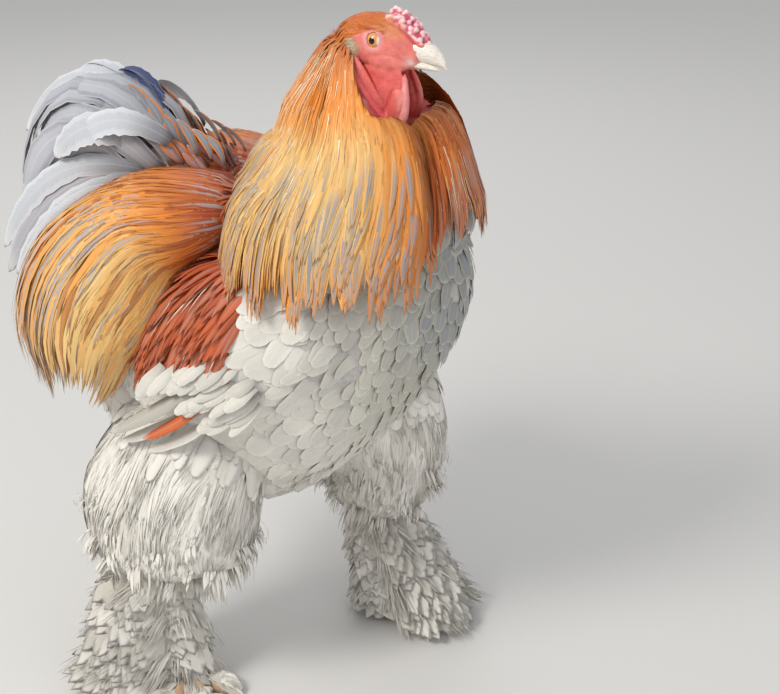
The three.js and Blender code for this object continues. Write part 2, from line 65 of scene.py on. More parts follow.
bird = {  # rows of a form: x, y, z, half width sideways, half depth
    "torso": [
        [-196, 0, 356, 42, 60], [-160, 0, 354, 86, 118], [-112, 0, 354, 112, 152], [-52, 0, 353, 128, 168],
        [5, 0, 359, 132, 169], [62, 0, 376, 127, 156], [112, 0, 398, 110, 134], [150, 0, 420, 90, 108],
        [180, 0, 442, 66, 80], [204, 0, 456, 38, 50],
    ],
    "hackle": [
        [90, 0, 674, 20, 24], [90, 2, 648, 34, 38], [94, 5, 615, 56, 62], [100, 5, 580, 78, 92],
        [98, 3, 540, 101, 112], [95, 0, 500, 122, 120], [98, 0, 465, 138, 116], [100, 0, 432, 146, 112],
    ],
    "wing": [
        [120, 86, 440, 36, 44], [76, 92, 424, 52, 72], [20, 94, 402, 60, 90], [-40, 98, 366, 54, 78],
        [-86, 106, 326, 42, 50], [-112, 110, 300, 32, 28],
    ],
    "saddle": [
        [10, 36, 514, 44, 22], [-40, 50, 508, 60, 38], [-88, 74, 490, 68, 56], [-120, 102, 448, 58, 72],
        [-136, 120, 404, 44, 64], [-140, 128, 364, 28, 42],
    ],
    "tail": [
        [-92, 0, 505, 36, 44], [-126, 0, 550, 50, 48], [-166, 0, 570, 60, 52], [-200, 0, 555, 66, 50],
        [-228, 0, 510, 64, 38], [-240, 0, 460, 54, 20],
    ],
    "thigh right": [
        [-30, -70, 318, 48, 66], [-50, -88, 272, 58, 80], [-68, -102, 218, 62, 92], [-76, -104, 172, 56, 84],
        [-74, -102, 134, 44, 62],
    ],
    "thigh left": [
        [62, 70, 320, 50, 66], [70, 90, 270, 58, 72], [72, 104, 215, 58, 72], [66, 104, 165, 52, 62],
        [58, 101, 118, 38, 44],
    ],
    "hock": {"right": (-76, -102, 134), "left": (58, 101, 122)},
    "ankle": {"right": (-68, -103, 22), "left": (90, 96, 22)},
    "footTurn": {"right": -35, "left": -4},
    "head": {"at": (118, -2, 673), "turn": -8, "nod": 2},
}
torsoLow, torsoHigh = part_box("torso")
birdOrigin = np.array([torsoLow.x - bird["torso"][0][0] * mm, (torsoLow.y + torsoHigh.y) / 2, 0.0])


def place(points):  # millimetres on the bird to metres in the frame
    return np.asarray(points, float) * mm + birdOrigin


def addToScene(name, data):
    piece = bpy.data.objects.new(name, data)
    bpy.context.scene.collection.objects.link(piece)
    return piece


def unit(vectors):
    size = np.linalg.norm(vectors, axis=-1, keepdims=True)
    return vectors / np.maximum(size, 1e-12)


def tone(text):  # a screen colour as Blender's linear values
    parts = np.array([int(text[i:i + 2], 16) / 255 for i in (0, 2, 4)])
    return np.where(parts <= 0.04045, parts / 12.92, ((parts + 0.055) / 1.055) ** 2.4)


def ease(low, high, value):
    share = np.clip((np.asarray(value, float) - low) / (high - low), 0, 1)
    return share * share * (3 - 2 * share)


def blendTones(first, second, share):
    share = np.asarray(share, float)[..., None]
    return first * (1 - share) + second * share


# A rounded form along a smooth line through key sections: centre, half width sideways and half depth.
class Form:
    def __init__(self, keys, ends=(0.15, 0.15), drawIn=0, facing=None, side=1, share=1.0):
        rows = np.array(keys, float)[:int(round(len(keys) * share))]
        rows[:, 3:] = np.maximum(rows[:, 3:] - drawIn, rows[:, 3:] / 2)
        before, after = 2 * rows[0] - rows[1], 2 * rows[-1] - rows[-2]
        self.rows = np.vstack([before, rows, after])
        self.ends, self.facing, self.side = ends, facing, side

    def rowAt(self, along):
        along = np.asarray(along, float)
        inside = np.clip(along, 0, 1)
        spans = len(self.rows) - 3
        first = np.minimum((inside * spans).astype(int), spans - 1)
        t = (inside * spans - first)[..., None]
        a, b, c, d = (self.rows[first + i] for i in range(4))
        bend, twist = 2 * a - 5 * b + 4 * c - d, 3 * b - a - 3 * c + d
        curve = 0.5 * (2 * b + (c - a) * t + bend * t**2 + twist * t**3)
        past = (along - inside)[..., None] * spans
        endSlope = np.where(past > 0, (self.rows[-1] - self.rows[-3]) / 2, (self.rows[2] - self.rows[0]) / 2)
        return curve + past * endSlope

    def surface(self, along, angle):
        along, angle = np.broadcast_arrays(np.asarray(along, float), np.asarray(angle, float))
        row = self.rowAt(along)
        if self.facing is None:
            step = 1e-3
            way = unit(self.rowAt(along + step)[..., :3] - self.rowAt(along - step)[..., :3])
        else:
            way = np.broadcast_to(np.array(self.facing, float), along.shape + (3,))
        sideways = unit(np.array([0, 1, 0]) - way * way[..., 1:2])
        front = np.cross(way, sideways)
        narrow = np.ones_like(along)
        for near, end in ((along, self.ends[0]), (1 - along, self.ends[1])):
            if end:
                narrow = narrow * np.sqrt(np.clip(1 - np.clip(1 - near / end, 0, 1) ** 2, 0, 1))
        wide = (row[..., 3] * narrow * np.cos(angle))[..., None]
        deep = (row[..., 4] * narrow * np.sin(angle))[..., None]
        point = row[..., :3] + sideways * wide + front * deep
        return point * np.array([1, self.side, 1])

    def outward(self, along, angle):
        step, turn = 4e-3, 0.02
        down = self.surface(along + step, angle) - self.surface(along - step, angle)
        roundIt = self.surface(along, angle + turn) - self.surface(along, angle - turn)
        out = unit(np.cross(down, roundIt))
        away = self.surface(along, angle) - self.rowAt(along)[..., :3] * np.array([1, self.side, 1])
        return np.where((out * away).sum(-1, keepdims=True) < 0, -out, out)


forms = {
    "torso": Form(bird["torso"], (0.1, 0.1), 0, (1, 0, 0)),
    "hackle": Form(bird["hackle"], (0.06, 0)),
    "tail": Form(bird["tail"], (0.12, 0)),
}
for word, side in sides.items():
    forms["wing " + word] = Form(bird["wing"], (0.2, 0), side=side)
    forms["saddle " + word] = Form(bird["saddle"], (0.2, 0), side=side)
    forms["thigh " + word] = Form(bird["thigh " + word], (0.2, 0.25))


# Shapes for the skin. Each is a closed ball or ring drawn over its form, and lay may place it on the head.
def setSpots(verts, points, lay=None):
    for vert, point in zip(verts, points if lay is None else lay(points)):
        vert.co = point


def loft(bm, form, around, rings, lay=None):
    verts = bmesh.ops.create_uvsphere(bm, u_segments=around, v_segments=rings, radius=1)["verts"]
    spots = np.array([v.co for v in verts])
    along = (1 - np.clip(spots[:, 2], -1, 1)) / 2
    points = form.surface(along, np.arctan2(spots[:, 1], spots[:, 0]))
    poles = np.abs(spots[:, 2]) > 0.9999
    points[poles] = (form.rowAt(along)[:, :3] * np.array([1, form.side, 1]))[poles]
    setSpots(verts, points, lay)


def ball(bm, at, radii, turn=(0, 0, 0), lay=None, fine=3):
    verts = bmesh.ops.create_icosphere(bm, subdivisions=fine, radius=1)["verts"]
    spin = Euler([math.radians(a) for a in turn]).to_matrix()
    points = np.array([spin @ Vector([v.co[i] * radii[i] for i in range(3)]) + Vector(at) for v in verts])
    setSpots(verts, points, lay)


standUp = Matrix.Rotation(math.pi / 2, 3, "X")


def ringAcross(bm, at, radius, tube):  # a ring that lies in the head's upright plane
    circle = bmesh.ops.create_circle(bm, segments=14, radius=tube)["verts"]
    bmesh.ops.translate(bm, verts=circle, vec=(radius, 0, 0))
    edges = list({e for v in circle for e in v.link_edges})
    before = set(bm.verts) - set(circle)
    bmesh.ops.spin(
        bm, geom=circle + edges, cent=(0, 0, 0), axis=(0, 0, 1), angle=2 * math.pi, steps=40,
        use_merge=True, use_duplicate=False,
    )
    verts = [v for v in bm.verts if v not in before]
    setSpots(verts, np.array([standUp @ v.co for v in verts]) + np.array(at), onHead)


toMetres = Matrix.Translation(birdOrigin) @ Matrix.Scale(mm, 4)


def meshOf(name, bm):
    mesh = bpy.data.meshes.new(name)
    bm.to_mesh(mesh)
    bm.free()
    return mesh


def makeObject(name, bm):  # from millimetres on the bird to a piece in metres
    bmesh.ops.recalc_face_normals(bm, faces=bm.faces)
    bmesh.ops.transform(bm, matrix=toMetres, verts=bm.verts)
    return addToScene(name, meshOf(name, bm))


def applyModifier(piece, kind, **values):
    modifier = piece.modifiers.new("work", kind)
    for key, value in values.items():
        setattr(modifier, key, value)
    graph = bpy.context.evaluated_depsgraph_get()
    mesh = bpy.data.meshes.new_from_object(piece.evaluated_get(graph))
    piece.modifiers.clear()
    old, piece.data = piece.data, mesh
    bpy.data.meshes.remove(old)


def remesh(piece, size):
    applyModifier(piece, "REMESH", mode="VOXEL", voxel_size=size, use_smooth_shade=True)


def combine(piece, other, how):
    applyModifier(piece, "BOOLEAN", operation=how, object=other, solver="MANIFOLD")
    bpy.data.objects.remove(other)
    return piece


def relax(piece, times):
    bm = bmesh.new()
    bm.from_mesh(piece.data)
    axes = {"use_axis_x": True, "use_axis_y": True, "use_axis_z": True}
    for _ in range(times):
        bmesh.ops.smooth_vert(bm, verts=bm.verts, factor=0.5, **axes)
    bm.to_mesh(piece.data)
    bm.free()


def vertsOf(piece, what="co"):
    values = np.empty(len(piece.data.vertices) * 3)
    piece.data.vertices.foreach_get(what, values)
    return values.reshape(-1, 3)


def spotsOf(piece):  # a piece's vertices in millimetres on the bird
    return (vertsOf(piece) - birdOrigin) / mm


# The head has a frame of its own: its origin is midway between the eyes and +x runs to the beak.
turned, nodded = (math.radians(bird["head"][key]) for key in ("turn", "nod"))
headTurn = np.array(Matrix.Rotation(turned, 3, "Z") @ Matrix.Rotation(nodded, 3, "Y"))
headAt = np.array(bird["head"]["at"], float)


def onHead(points):
    return np.asarray(points, float) @ headTurn.T + headAt


def fromHead(points):  # places on the bird as places on the head
    return (np.asarray(points, float) - headAt) @ headTurn


headShape = {
    "skull": [
        [-38, 0, -12, 15, 17], [-22, 0, -6, 20.5, 22.5], [-2, 0, -4, 20.5, 24.5], [18, 0, -7, 17.5, 21.5],
        [34, 0, -11, 12.5, 14.5], [43, 0, -12, 9, 10],
    ],
    "eyeAt": (2, 13.2, 0), "eyeRadius": 8.2, "opening": 6.1,
    "lidRing": 6.9, "lidTube": 1.25, "outerRing": 9.6, "outerTube": 1.5,
    "voxel": 0.0009, "relaxed": 4,
}
throat = {"at": (19, 0, -30), "radii": (31, 62, 52), "tilt": -32}  # the gap that the wattles hang in
combShape = {  # rows: y, height, start, end, knobs
    "rows": [(0, 16, 12, 46, 5), (6.4, 11.5, 12, 43, 5), (-6.4, 11.5, 12, 43, 5)],
    "knob": (4.2, 3.8), "low": 0.8, "lean": 14, "peas": 6, "peaSize": 2.4, "seed": 4,
}
wattleShape = {  # far is how wide the one on the far side is beside the near one
    "far": 0.8,
    "keys": [
        [4, 12.5, -16, 3.6, 22], [9, 13.5, -30, 3.4, 21], [15, 15, -44, 3.2, 17], [19, 16, -56, 3.2, 13],
        [20, 16.5, -68, 3.2, 8],
    ],
    "rim": [
        [30, 10.5, -26, 2.2], [34, 16, -38, 3.2], [37, 19.5, -51, 3.6], [35.5, 21, -64, 4],
        [28, 22, -73, 4.2], [20.5, 21.5, -67, 3.6], [18, 19.5, -55, 2.4],
    ],
}
lobeShape = {
    "keys": [[-22, 19, -14, 2.6, 5], [-8, 20.5, -32, 2.8, 7], [4, 20, -50, 2.8, 7], [15, 17.5, -63, 2.2, 5]],
    "rim": [
        [-25.5, 20.5, -13, 3], [-17, 23.5, -27, 3.7], [-5, 24, -44, 3.9], [8, 22, -59, 3.6],
        [19, 19, -69, 2.8],
    ],
}


def roundEdge(bm, keys, stretch):  # a smooth round edge through x, y, z and radius
    rows = [[*key, key[3]] for key in keys]
    loft(bm, Form(rows, (0.12, 0.12)), 12, 34, lambda points: onHead(points * stretch))


def buildHead():
    bm = bmesh.new()
    loft(bm, Form(headShape["skull"], (0.25, 0.12)), 40, 30, onHead)
    for side in (-1, 1):
        ball(bm, (12, side * 11, -17), (22, 8.4, 10), (0, 6, -side * 6), onHead)  # cheek
        ball(bm, (0, side * 15, 10.5), (14, 5, 3.2), (side * 24, 4, -side * 8), onHead)  # brow
        ball(bm, (30, side * 7.5, -13.5), (10, 4.6, 6), (0, 8, -side * 18), onHead)  # fold at the gape
        ball(bm, (-18, side * 17.5, -10), (9, 5, 8), (0, 0, 0), onHead)  # cushion under the ear tuft
        ball(bm, (8, side * 12.5, -26), (15, 5.5, 11), (0, 12, 0), onHead)  # root of the wattle
    return makeObject("skin", bm)


def carveSockets(head):
    x, y, z = headShape["eyeAt"]
    for side in (-1, 1):
        bm = bmesh.new()
        wide = headShape["opening"]
        bmesh.ops.create_cone(bm, cap_ends=True, segments=40, radius1=wide, radius2=wide, depth=16)
        at = Vector((x, side * (y + 6), z))
        setSpots(bm.verts, [standUp @ v.co + at for v in bm.verts], onHead)
        combine(head, makeObject("socket", bm), "DIFFERENCE")
        bm = bmesh.new()
        radius = headShape["eyeRadius"] + 0.4
        ball(bm, (x, side * y, z), (radius, radius, radius), lay=onHead)
        combine(head, makeObject("socket", bm), "DIFFERENCE")


def addLids(bm):
    x, y, z = headShape["eyeAt"]
    lift = headShape["eyeRadius"] - 2.1
    for side in (-1, 1):
        ringAcross(bm, (x, side * (y + lift), z), headShape["lidRing"], headShape["lidTube"])
        outer = (x + 0.3, side * (y + lift - 1.0), z - 0.4)
        ringAcross(bm, outer, headShape["outerRing"], headShape["outerTube"])


def addWattles(bm):  # and the lobes behind them
    for side in (-1, 1):
        mirror = np.array([1, side, 1])
        shrink = np.array([wattleShape["far"] if side > 0 else 1, 1, 1])
        wattle, lobe = Form(wattleShape["keys"], (0.15, 0.3)), Form(lobeShape["keys"], (0.2, 0.3))
        loft(bm, wattle, 32, 26, lambda points: onHead(points * mirror * shrink))
        roundEdge(bm, wattleShape["rim"], mirror * shrink)
        middle = (27.5, side * 19, -56)
        ball(bm, middle, (9, 5.4, 19), (-side * 5, 6, 0), lambda points: onHead(points * shrink))
        loft(bm, lobe, 20, 26, lambda points: onHead(points * mirror))
        roundEdge(bm, lobeShape["rim"], mirror)


def addComb(bm):  # knobs in three rows, each knob a ball with peas on it
    rng = np.random.default_rng(combShape["seed"])
    for y, height, start, end, knobs in combShape["rows"]:
        for i in range(2 * knobs + 1):
            share = i / (2 * knobs)
            rise = height * math.sin(math.pi * (0.3 + 0.6 * share))
            rise = rise * (1 if i % 2 else combShape["low"]) * rng.uniform(0.88, 1.08)
            at = np.array([start + (end - start) * share, y * (1.15 - 0.45 * share), 13 - 16 * share**1.6])
            lean = rng.uniform(-combShape["lean"], combShape["lean"])
            ball(bm, at + [0, 0, rise * 0.4], (*combShape["knob"], rise * 0.6 + 1), (0, lean, 0), onHead, 2)
            for _ in range(combShape["peas"]):
                size = combShape["peaSize"] * rng.uniform(0.8, 1.1)
                turn, up = rng.uniform(0, 2 * math.pi), rng.uniform(0.1, 0.9)
                reach = 3.4 * math.sqrt(1 - 0.8 * up**2)
                high = rise * 0.4 + up * (rise * 0.6 + 0.6)
                spot = at + [reach * math.cos(turn), reach * math.sin(turn), high]
                ball(bm, spot, (size, size, size), lay=onHead, fine=2)


def addFolds(head):  # lids, wattles, lobes and comb, fused with the head by one more remesh
    bm = bmesh.new()
    addLids(bm)
    addWattles(bm)
    addComb(bm)
    joinInto(head, makeObject("folds", bm))
    remesh(head, headShape["voxel"])


def joinInto(piece, other):
    bm = bmesh.new()
    bm.from_mesh(piece.data)
    bm.from_mesh(other.data)
    bm.to_mesh(piece.data)
    bm.free()
    bpy.data.objects.remove(other)


toes = {"inner": (32, 56), "middle": (0, 76), "outer": (-34, 62), "hind": (168, 34)}  # turn and length
footShape = {  # toe: share of its length, z, wide, deep; claw: how far past the toe, z, wide, deep
    "toe": [(0, 12, 11, 13), (0.35, 9.5, 9.5, 11), (0.75, 7.8, 8.4, 9.4), (1, 6.6, 7, 8)],
    "claw": [(-5, 8, 4.2, 4.6), (4, 8.4, 3.4, 3.8), (11, 6.4, 2.2, 2.6), (17, 3, 0.9, 1.1)],
    "shank": [(-0.15, 17), (0.2, 15), (0.6, 14), (1, 14), (1.12, 13)],  # share of the way down, half depth
    "root": (15, 14, 15), "slim": 1.5, "voxel": 0.0017, "sole": 0.4,
}


def toeKeys(word, toe, claw=False):
    turn, length = toes[toe]
    way = math.radians(bird["footTurn"][word] - sides[word] * turn)
    x, y, _ = bird["ankle"][word]
    if claw:
        rows = [(length + past, *rest) for past, *rest in footShape["claw"]]
    else:
        rows = [(length * share, *rest) for share, *rest in footShape["toe"]]
    return [[x + r * math.cos(way), y + r * math.sin(way), z, wide, deep] for r, z, wide, deep in rows]


def buildFoot(word):
    bm = bmesh.new()
    x, y, _ = bird["ankle"][word]
    ball(bm, (x, y, 14), footShape["root"])
    top, low = np.array(bird["hock"][word]), np.array(bird["ankle"][word])
    rows = [(top + (low - top) * share, deep) for share, deep in footShape["shank"]]
    shank = [[*at, deep - footShape["slim"], deep] for at, deep in rows]
    loft(bm, Form(shank, (0.15, 0.15)), 20, 16)
    for toe in toes:
        loft(bm, Form(toeKeys(word, toe), (0.1, 0.15), 0.4), 18, 18)
    foot = makeObject("foot", bm)
    remesh(foot, footShape["voxel"])
    floor, deep = bmesh.new(), 400
    bmesh.ops.create_cube(floor, size=deep)
    bmesh.ops.translate(floor, verts=floor.verts, vec=(x, y, footShape["sole"] - deep / 2))
    return combine(foot, makeObject("under", floor), "DIFFERENCE")


bodyShape = {  # how deep the skin lies under each form of the coat
    "torso": 13, "hackle": 13, "tail": 14, "wing": 11, "saddle": 12, "thigh": 14,
    "voxel": 0.005, "relaxed": 3,
}


def buildBody():
    bm = bmesh.new()
    loft(bm, Form(bird["torso"], (0.1, 0.1), bodyShape["torso"], (1, 0, 0)), 44, 36)
    loft(bm, Form(bird["hackle"], (0.06, 0.2), bodyShape["hackle"], share=0.87), 36, 26)
    loft(bm, Form(bird["tail"], (0.12, 0.4), bodyShape["tail"], share=0.67), 28, 20)
    for word, side in sides.items():
        loft(bm, Form(bird["wing"], (0.2, 0.35), bodyShape["wing"], side=side, share=0.84), 28, 20)
        loft(bm, Form(bird["saddle"], (0.2, 0.4), bodyShape["saddle"], side=side, share=0.67), 28, 20)
        loft(bm, Form(bird["thigh " + word], (0.2, 0.25), bodyShape["thigh"]), 32, 24)
    body = makeObject("body", bm)
    remesh(body, bodyShape["voxel"])
    relax(body, bodyShape["relaxed"])
    bm = bmesh.new()
    ball(bm, throat["at"], throat["radii"], (0, throat["tilt"], 0), onHead)
    return combine(body, makeObject("throat", bm), "DIFFERENCE")


skin = buildHead()
remesh(skin, headShape["voxel"])
carveSockets(skin)
addFolds(skin)
relax(skin, headShape["relaxed"])
print("Head made:", len(skin.data.polygons), "faces")
body = buildBody()
print("Body made:", len(body.data.polygons), "faces")
for word in sides:
    combine(body, buildFoot(word), "UNION")
combine(skin, body, "UNION")
print("Skin joined:", len(skin.data.polygons), "faces")


# Feathers. A blank is a closed vane whose corners know how far across, how thick and how far along they are.
def featherBlank(stations, around, bunch=1.25):
    bm = bmesh.new()
    ring = bmesh.ops.create_circle(bm, segments=around, radius=1)["verts"]
    edges = list({e for v in ring for e in v.link_edges})
    bmesh.ops.holes_fill(bm, edges=edges, sides=around)
    for _ in range(1, stations):
        grown = bmesh.ops.extrude_edge_only(bm, edges=edges)["geom"]
        ring = [v for v in grown if isinstance(v, bmesh.types.BMVert)]
        edges = [e for e in grown if isinstance(e, bmesh.types.BMEdge)]
        bmesh.ops.translate(bm, verts=ring, vec=(0, 0, 1))
    bmesh.ops.pointmerge(bm, verts=ring, merge_co=(0, 0, stations - 1))
    bmesh.ops.recalc_face_normals(bm, faces=bm.faces)
    bm.verts.index_update()
    spots = np.array([v.co for v in bm.verts])
    faces = [[v.index for v in f.verts] for f in bm.faces]
    bm.free()
    return {
        "q": 1 - (1 - np.linspace(0, 1, stations)) ** bunch,  # how far along: closer towards the tip
        "across": spots[:, 0], "level": spots[:, 1], "station": np.round(spots[:, 2]).astype(int),
        "corners": np.array([i for f in faces for i in f]), "sizes": np.array([len(f) for f in faces]),
        "rim": (np.abs(spots[:, 0]) > 0.99) & (around > 3),
    }


outlines = {  # share of the width at the root, how fast it widens, how late it narrows, how blunt the tip is
    "lance": (0.55, 1.2, 2.4, 0.7), "round": (0.5, 1.1, 4.5, 0.5), "wisp": (0.7, 1, 1.6, 1),
    "strand": (0.4, 1.5, 1.9, 1), "lens": (0.35, 1.3, 3.2, 0.9), "flight": (0.55, 1, 3.6, 0.6),
}


def outlineOf(name, q):
    root, widening, late, blunt = outlines[name]
    return np.clip(root + widening * q, 0, 1) * np.clip(1 - q**late, 0, 1) ** blunt


def riseOf(q, sunk, lift):  # sunk at the root, lifted towards the tip
    return np.where(q < 0.3, -sunk * (1 - q / 0.3), 0) + lift * np.clip((q - 0.2) / 0.8, 0, 1)


# Spines laid on a form from root to tip.
def laidSpines(blank, form, root, tip, angle, drift, sunk, lift, curl=0.0):
    q = blank["q"]
    along = root[:, None] + (tip - root)[:, None] * q
    turn = angle[:, None] + drift[:, None] * q
    rise = riseOf(q, sunk, lift[:, None]) + curl * q**3
    out = form.outward(along, turn)
    at = form.surface(along, turn) + out * rise[..., None]
    return {"blank": blank, "at": at, "out": out, "along": along}


# Spines of free feathers, each on an arc from its root past a middle point to its tip.
def arcSpines(blank, start, middle, end, out):
    t = blank["q"][None, :, None]
    at = (1 - t) ** 2 * start[:, None] + 2 * t * (1 - t) * middle[:, None] + t**2 * end[:, None]
    return {"blank": blank, "at": at, "out": np.broadcast_to(unit(out)[:, None], at.shape)}


# The skin as ground to lay feathers on: each spine creeps over it the way that flow tells.
class Ground:
    def __init__(self, piece):
        mesh = piece.data
        mesh.calc_loop_triangles()
        corners = np.empty(len(mesh.loop_triangles) * 3, int)
        mesh.loop_triangles.foreach_get("vertices", corners)
        self.corners = corners.reshape(-1, 3)
        self.spots = spotsOf(piece)
        self.normals = vertsOf(piece, "normal")
        self.tree = BVHTree.FromPolygons(self.spots.tolist(), self.corners.tolist())

    def nearest(self, points):
        at, out = np.empty_like(points), np.empty_like(points)
        for i, point in enumerate(points):
            spot, _, face, _ = self.tree.find_nearest(point)
            at[i] = spot
            out[i] = self.normals[self.corners[face]].mean(0)
        return at, unit(out)

    def scatter(self, spacing, seed, keep):  # roots at least that far apart
        rng = np.random.default_rng(seed)
        a, b, c = (self.spots[self.corners[:, i]] for i in range(3))
        middles = (a + b + c) / 3
        wanted = keep(middles)
        a, b, c = a[wanted], b[wanted], c[wanted]
        area = np.linalg.norm(np.cross(b - a, c - a), axis=1) / 2
        count = int(area.sum() / spacing**2 * 6)
        pick = rng.choice(len(area), count, p=area / area.sum())
        u, v = rng.random((2, count))
        flip = u + v > 1
        u[flip], v[flip] = 1 - u[flip], 1 - v[flip]
        points = a[pick] + (b - a)[pick] * u[:, None] + (c - a)[pick] * v[:, None]
        taken, chosen = {}, []
        for i, cell in enumerate(np.floor(points / spacing).astype(int).tolist()):
            near = [
                j for dx in (-1, 0, 1) for dy in (-1, 0, 1) for dz in (-1, 0, 1)
                for j in taken.get((cell[0] + dx, cell[1] + dy, cell[2] + dz), ())
            ]
            if near and ((points[near] - points[i]) ** 2).sum(1).min() < spacing**2:
                continue
            taken.setdefault(tuple(cell), []).append(i)
            chosen.append(i)
        return points[chosen]

    def spines(self, blank, roots, flow, length, sunk, lift, swerve=0.0):
        at, out = self.nearest(roots)
        swerve = np.zeros((len(roots), 1)) + np.reshape(swerve, (-1, 1))
        q = blank["q"]
        places, outs = [], []
        for k, share in enumerate(q):
            if k:
                way = flow(at)
                way = unit(way - out * (way * out).sum(1, keepdims=True))
                way = way * np.cos(swerve) + np.cross(out, way) * np.sin(swerve)
                step = (length * (share - q[k - 1]))[:, None]
                at, out = self.nearest(at + way * step)
            places.append(at + out * riseOf(share, sunk, lift)[:, None])
            outs.append(out)
        return {"blank": blank, "at": np.stack(places, 1), "out": np.stack(outs, 1)}


def finishPiece(piece, stuff, slot, *nodes):
    piece.data.materials.clear()
    piece.data.materials.append(stuff)
    piece.data.polygons.foreach_set("use_smooth", np.ones(len(piece.data.polygons), bool))
    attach(piece, "root")
    if nodes:
        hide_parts(*nodes)


# A coat piece: many feathers joined in one mesh, with their tones, their own grain map and the map OFBake.
class Coat:
    def __init__(self, name, rng):
        self.name, self.rng, self.plants, self.count = name, rng, [], 0

    def plant(
        self, spines, half, outline, colour, home, heart=None, thick=0.4, camber=0.06, ragged=0.05, fray=0.0
    ):
        blank, at, out = spines["blank"], spines["at"], spines["out"]
        q, station, count = blank["q"], blank["station"], len(at)
        heart = noHeart(count) if heart is None else heart
        way = unit(np.gradient(at, axis=1))
        across = unit(np.cross(out, way))
        face = np.cross(way, across)
        wide = np.asarray(half)[:, None] * outlineOf(outline, q)
        wide = wide * (1 + ragged * self.rng.uniform(-1, 1, (count, len(q))))
        wide = wide * (1 - fray * (np.arange(len(q)) % 2) * self.rng.uniform(0.5, 1.5, (count, len(q))))
        luck = self.rng.random(count)
        body = thick * np.clip(1.15 - q, 0.25, 1)
        spread = wide[:, station] * blank["across"]
        rise = blank["level"] * body[station] - camber * np.abs(blank["across"]) ** 2 * wide[:, station]
        points = at[:, station] + across[:, station] * spread[..., None] + face[:, station] * rise[..., None]
        steps = np.linalg.norm(np.diff(at, axis=1), axis=2)
        length = np.concatenate([np.zeros((count, 1)), steps.cumsum(1)], 1)[:, station]
        patch = 0.003 * np.stack([blank["across"] * 0.5, q[station] - 0.5], -1)  # its size in OFBake
        offset = self.count + np.arange(count)[:, None] * len(station)
        self.plants.append({
            "at": place(points).reshape(-1, 3), "lie": out[:, station].reshape(-1, 3),
            "tint": atStations(colour, spines), "heart": atStations(heart, spines),
            "grain": np.column_stack([np.tile(blank["across"], count), length.ravel() / 10]),
            "bake": (np.clip(home, 0.002, 0.998)[:, None] + patch).reshape(-1, 2),
            "share": np.tile(q[station], count), "luck": np.repeat(luck, len(station)),
            "rim": np.tile(blank["rim"], count), "sizes": np.tile(blank["sizes"], count),
            "corners": (offset + blank["corners"]).ravel(),
        })
        self.count += count * len(station)

    def build(self, stuff, slot):
        whole = {key: np.concatenate([plant[key] for plant in self.plants]) for key in self.plants[0]}
        mesh = bpy.data.meshes.new(self.name)
        mesh.vertices.add(self.count)
        mesh.vertices.foreach_set("co", whole["at"].ravel())
        mesh.loops.add(len(whole["corners"]))
        mesh.loops.foreach_set("vertex_index", whole["corners"])
        mesh.polygons.add(len(whole["sizes"]))
        mesh.polygons.foreach_set("loop_start", np.concatenate([[0], whole["sizes"].cumsum()[:-1]]))
        mesh.update(calc_edges=True)
        ends = np.empty(len(mesh.edges) * 2, int)
        mesh.edges.foreach_get("vertices", ends)
        sharp = whole["rim"][ends.reshape(-1, 2)].all(1)  # the two faces of a vane meet at a crisp edge
        mesh.attributes.new("sharp_edge", "BOOLEAN", "EDGE").data.foreach_set("value", sharp)
        paintTones(mesh, "tint", whole["tint"])
        mesh.attributes.new("heart", "FLOAT_COLOR", "POINT").data.foreach_set("color", whole["heart"].ravel())
        mesh.attributes.new("lie", "FLOAT_VECTOR", "POINT").data.foreach_set("vector", whole["lie"].ravel())
        for key in ("share", "luck"):
            mesh.attributes.new(key, "FLOAT", "POINT").data.foreach_set("value", whole[key])
        for name, key in (("grain", "grain"), ("OFBake", "bake")):
            mesh.uv_layers.new(name=name).data.foreach_set("uv", whole[key][whole["corners"]].ravel())
        finishPiece(addToScene(self.name, mesh), stuff, slot)
        mesh.calc_loop_triangles()
        print("Coat", self.name, len(mesh.loop_triangles), "triangles")


def atStations(rows, spines):  # a value for each feather, or for each of its stations, as one for each corner
    stations = spines["at"].shape[:2]
    rows = np.broadcast_to(rows if rows.ndim == 3 else rows[:, None], stations + rows.shape[-1:])
    return rows[:, spines["blank"]["station"]].reshape(-1, rows.shape[-1])


def paintTones(mesh, name, tones):
    rows = np.column_stack([tones, np.ones(len(tones))])
    mesh.attributes.new(name, "FLOAT_COLOR", "POINT").data.foreach_set("color", rows.ravel())


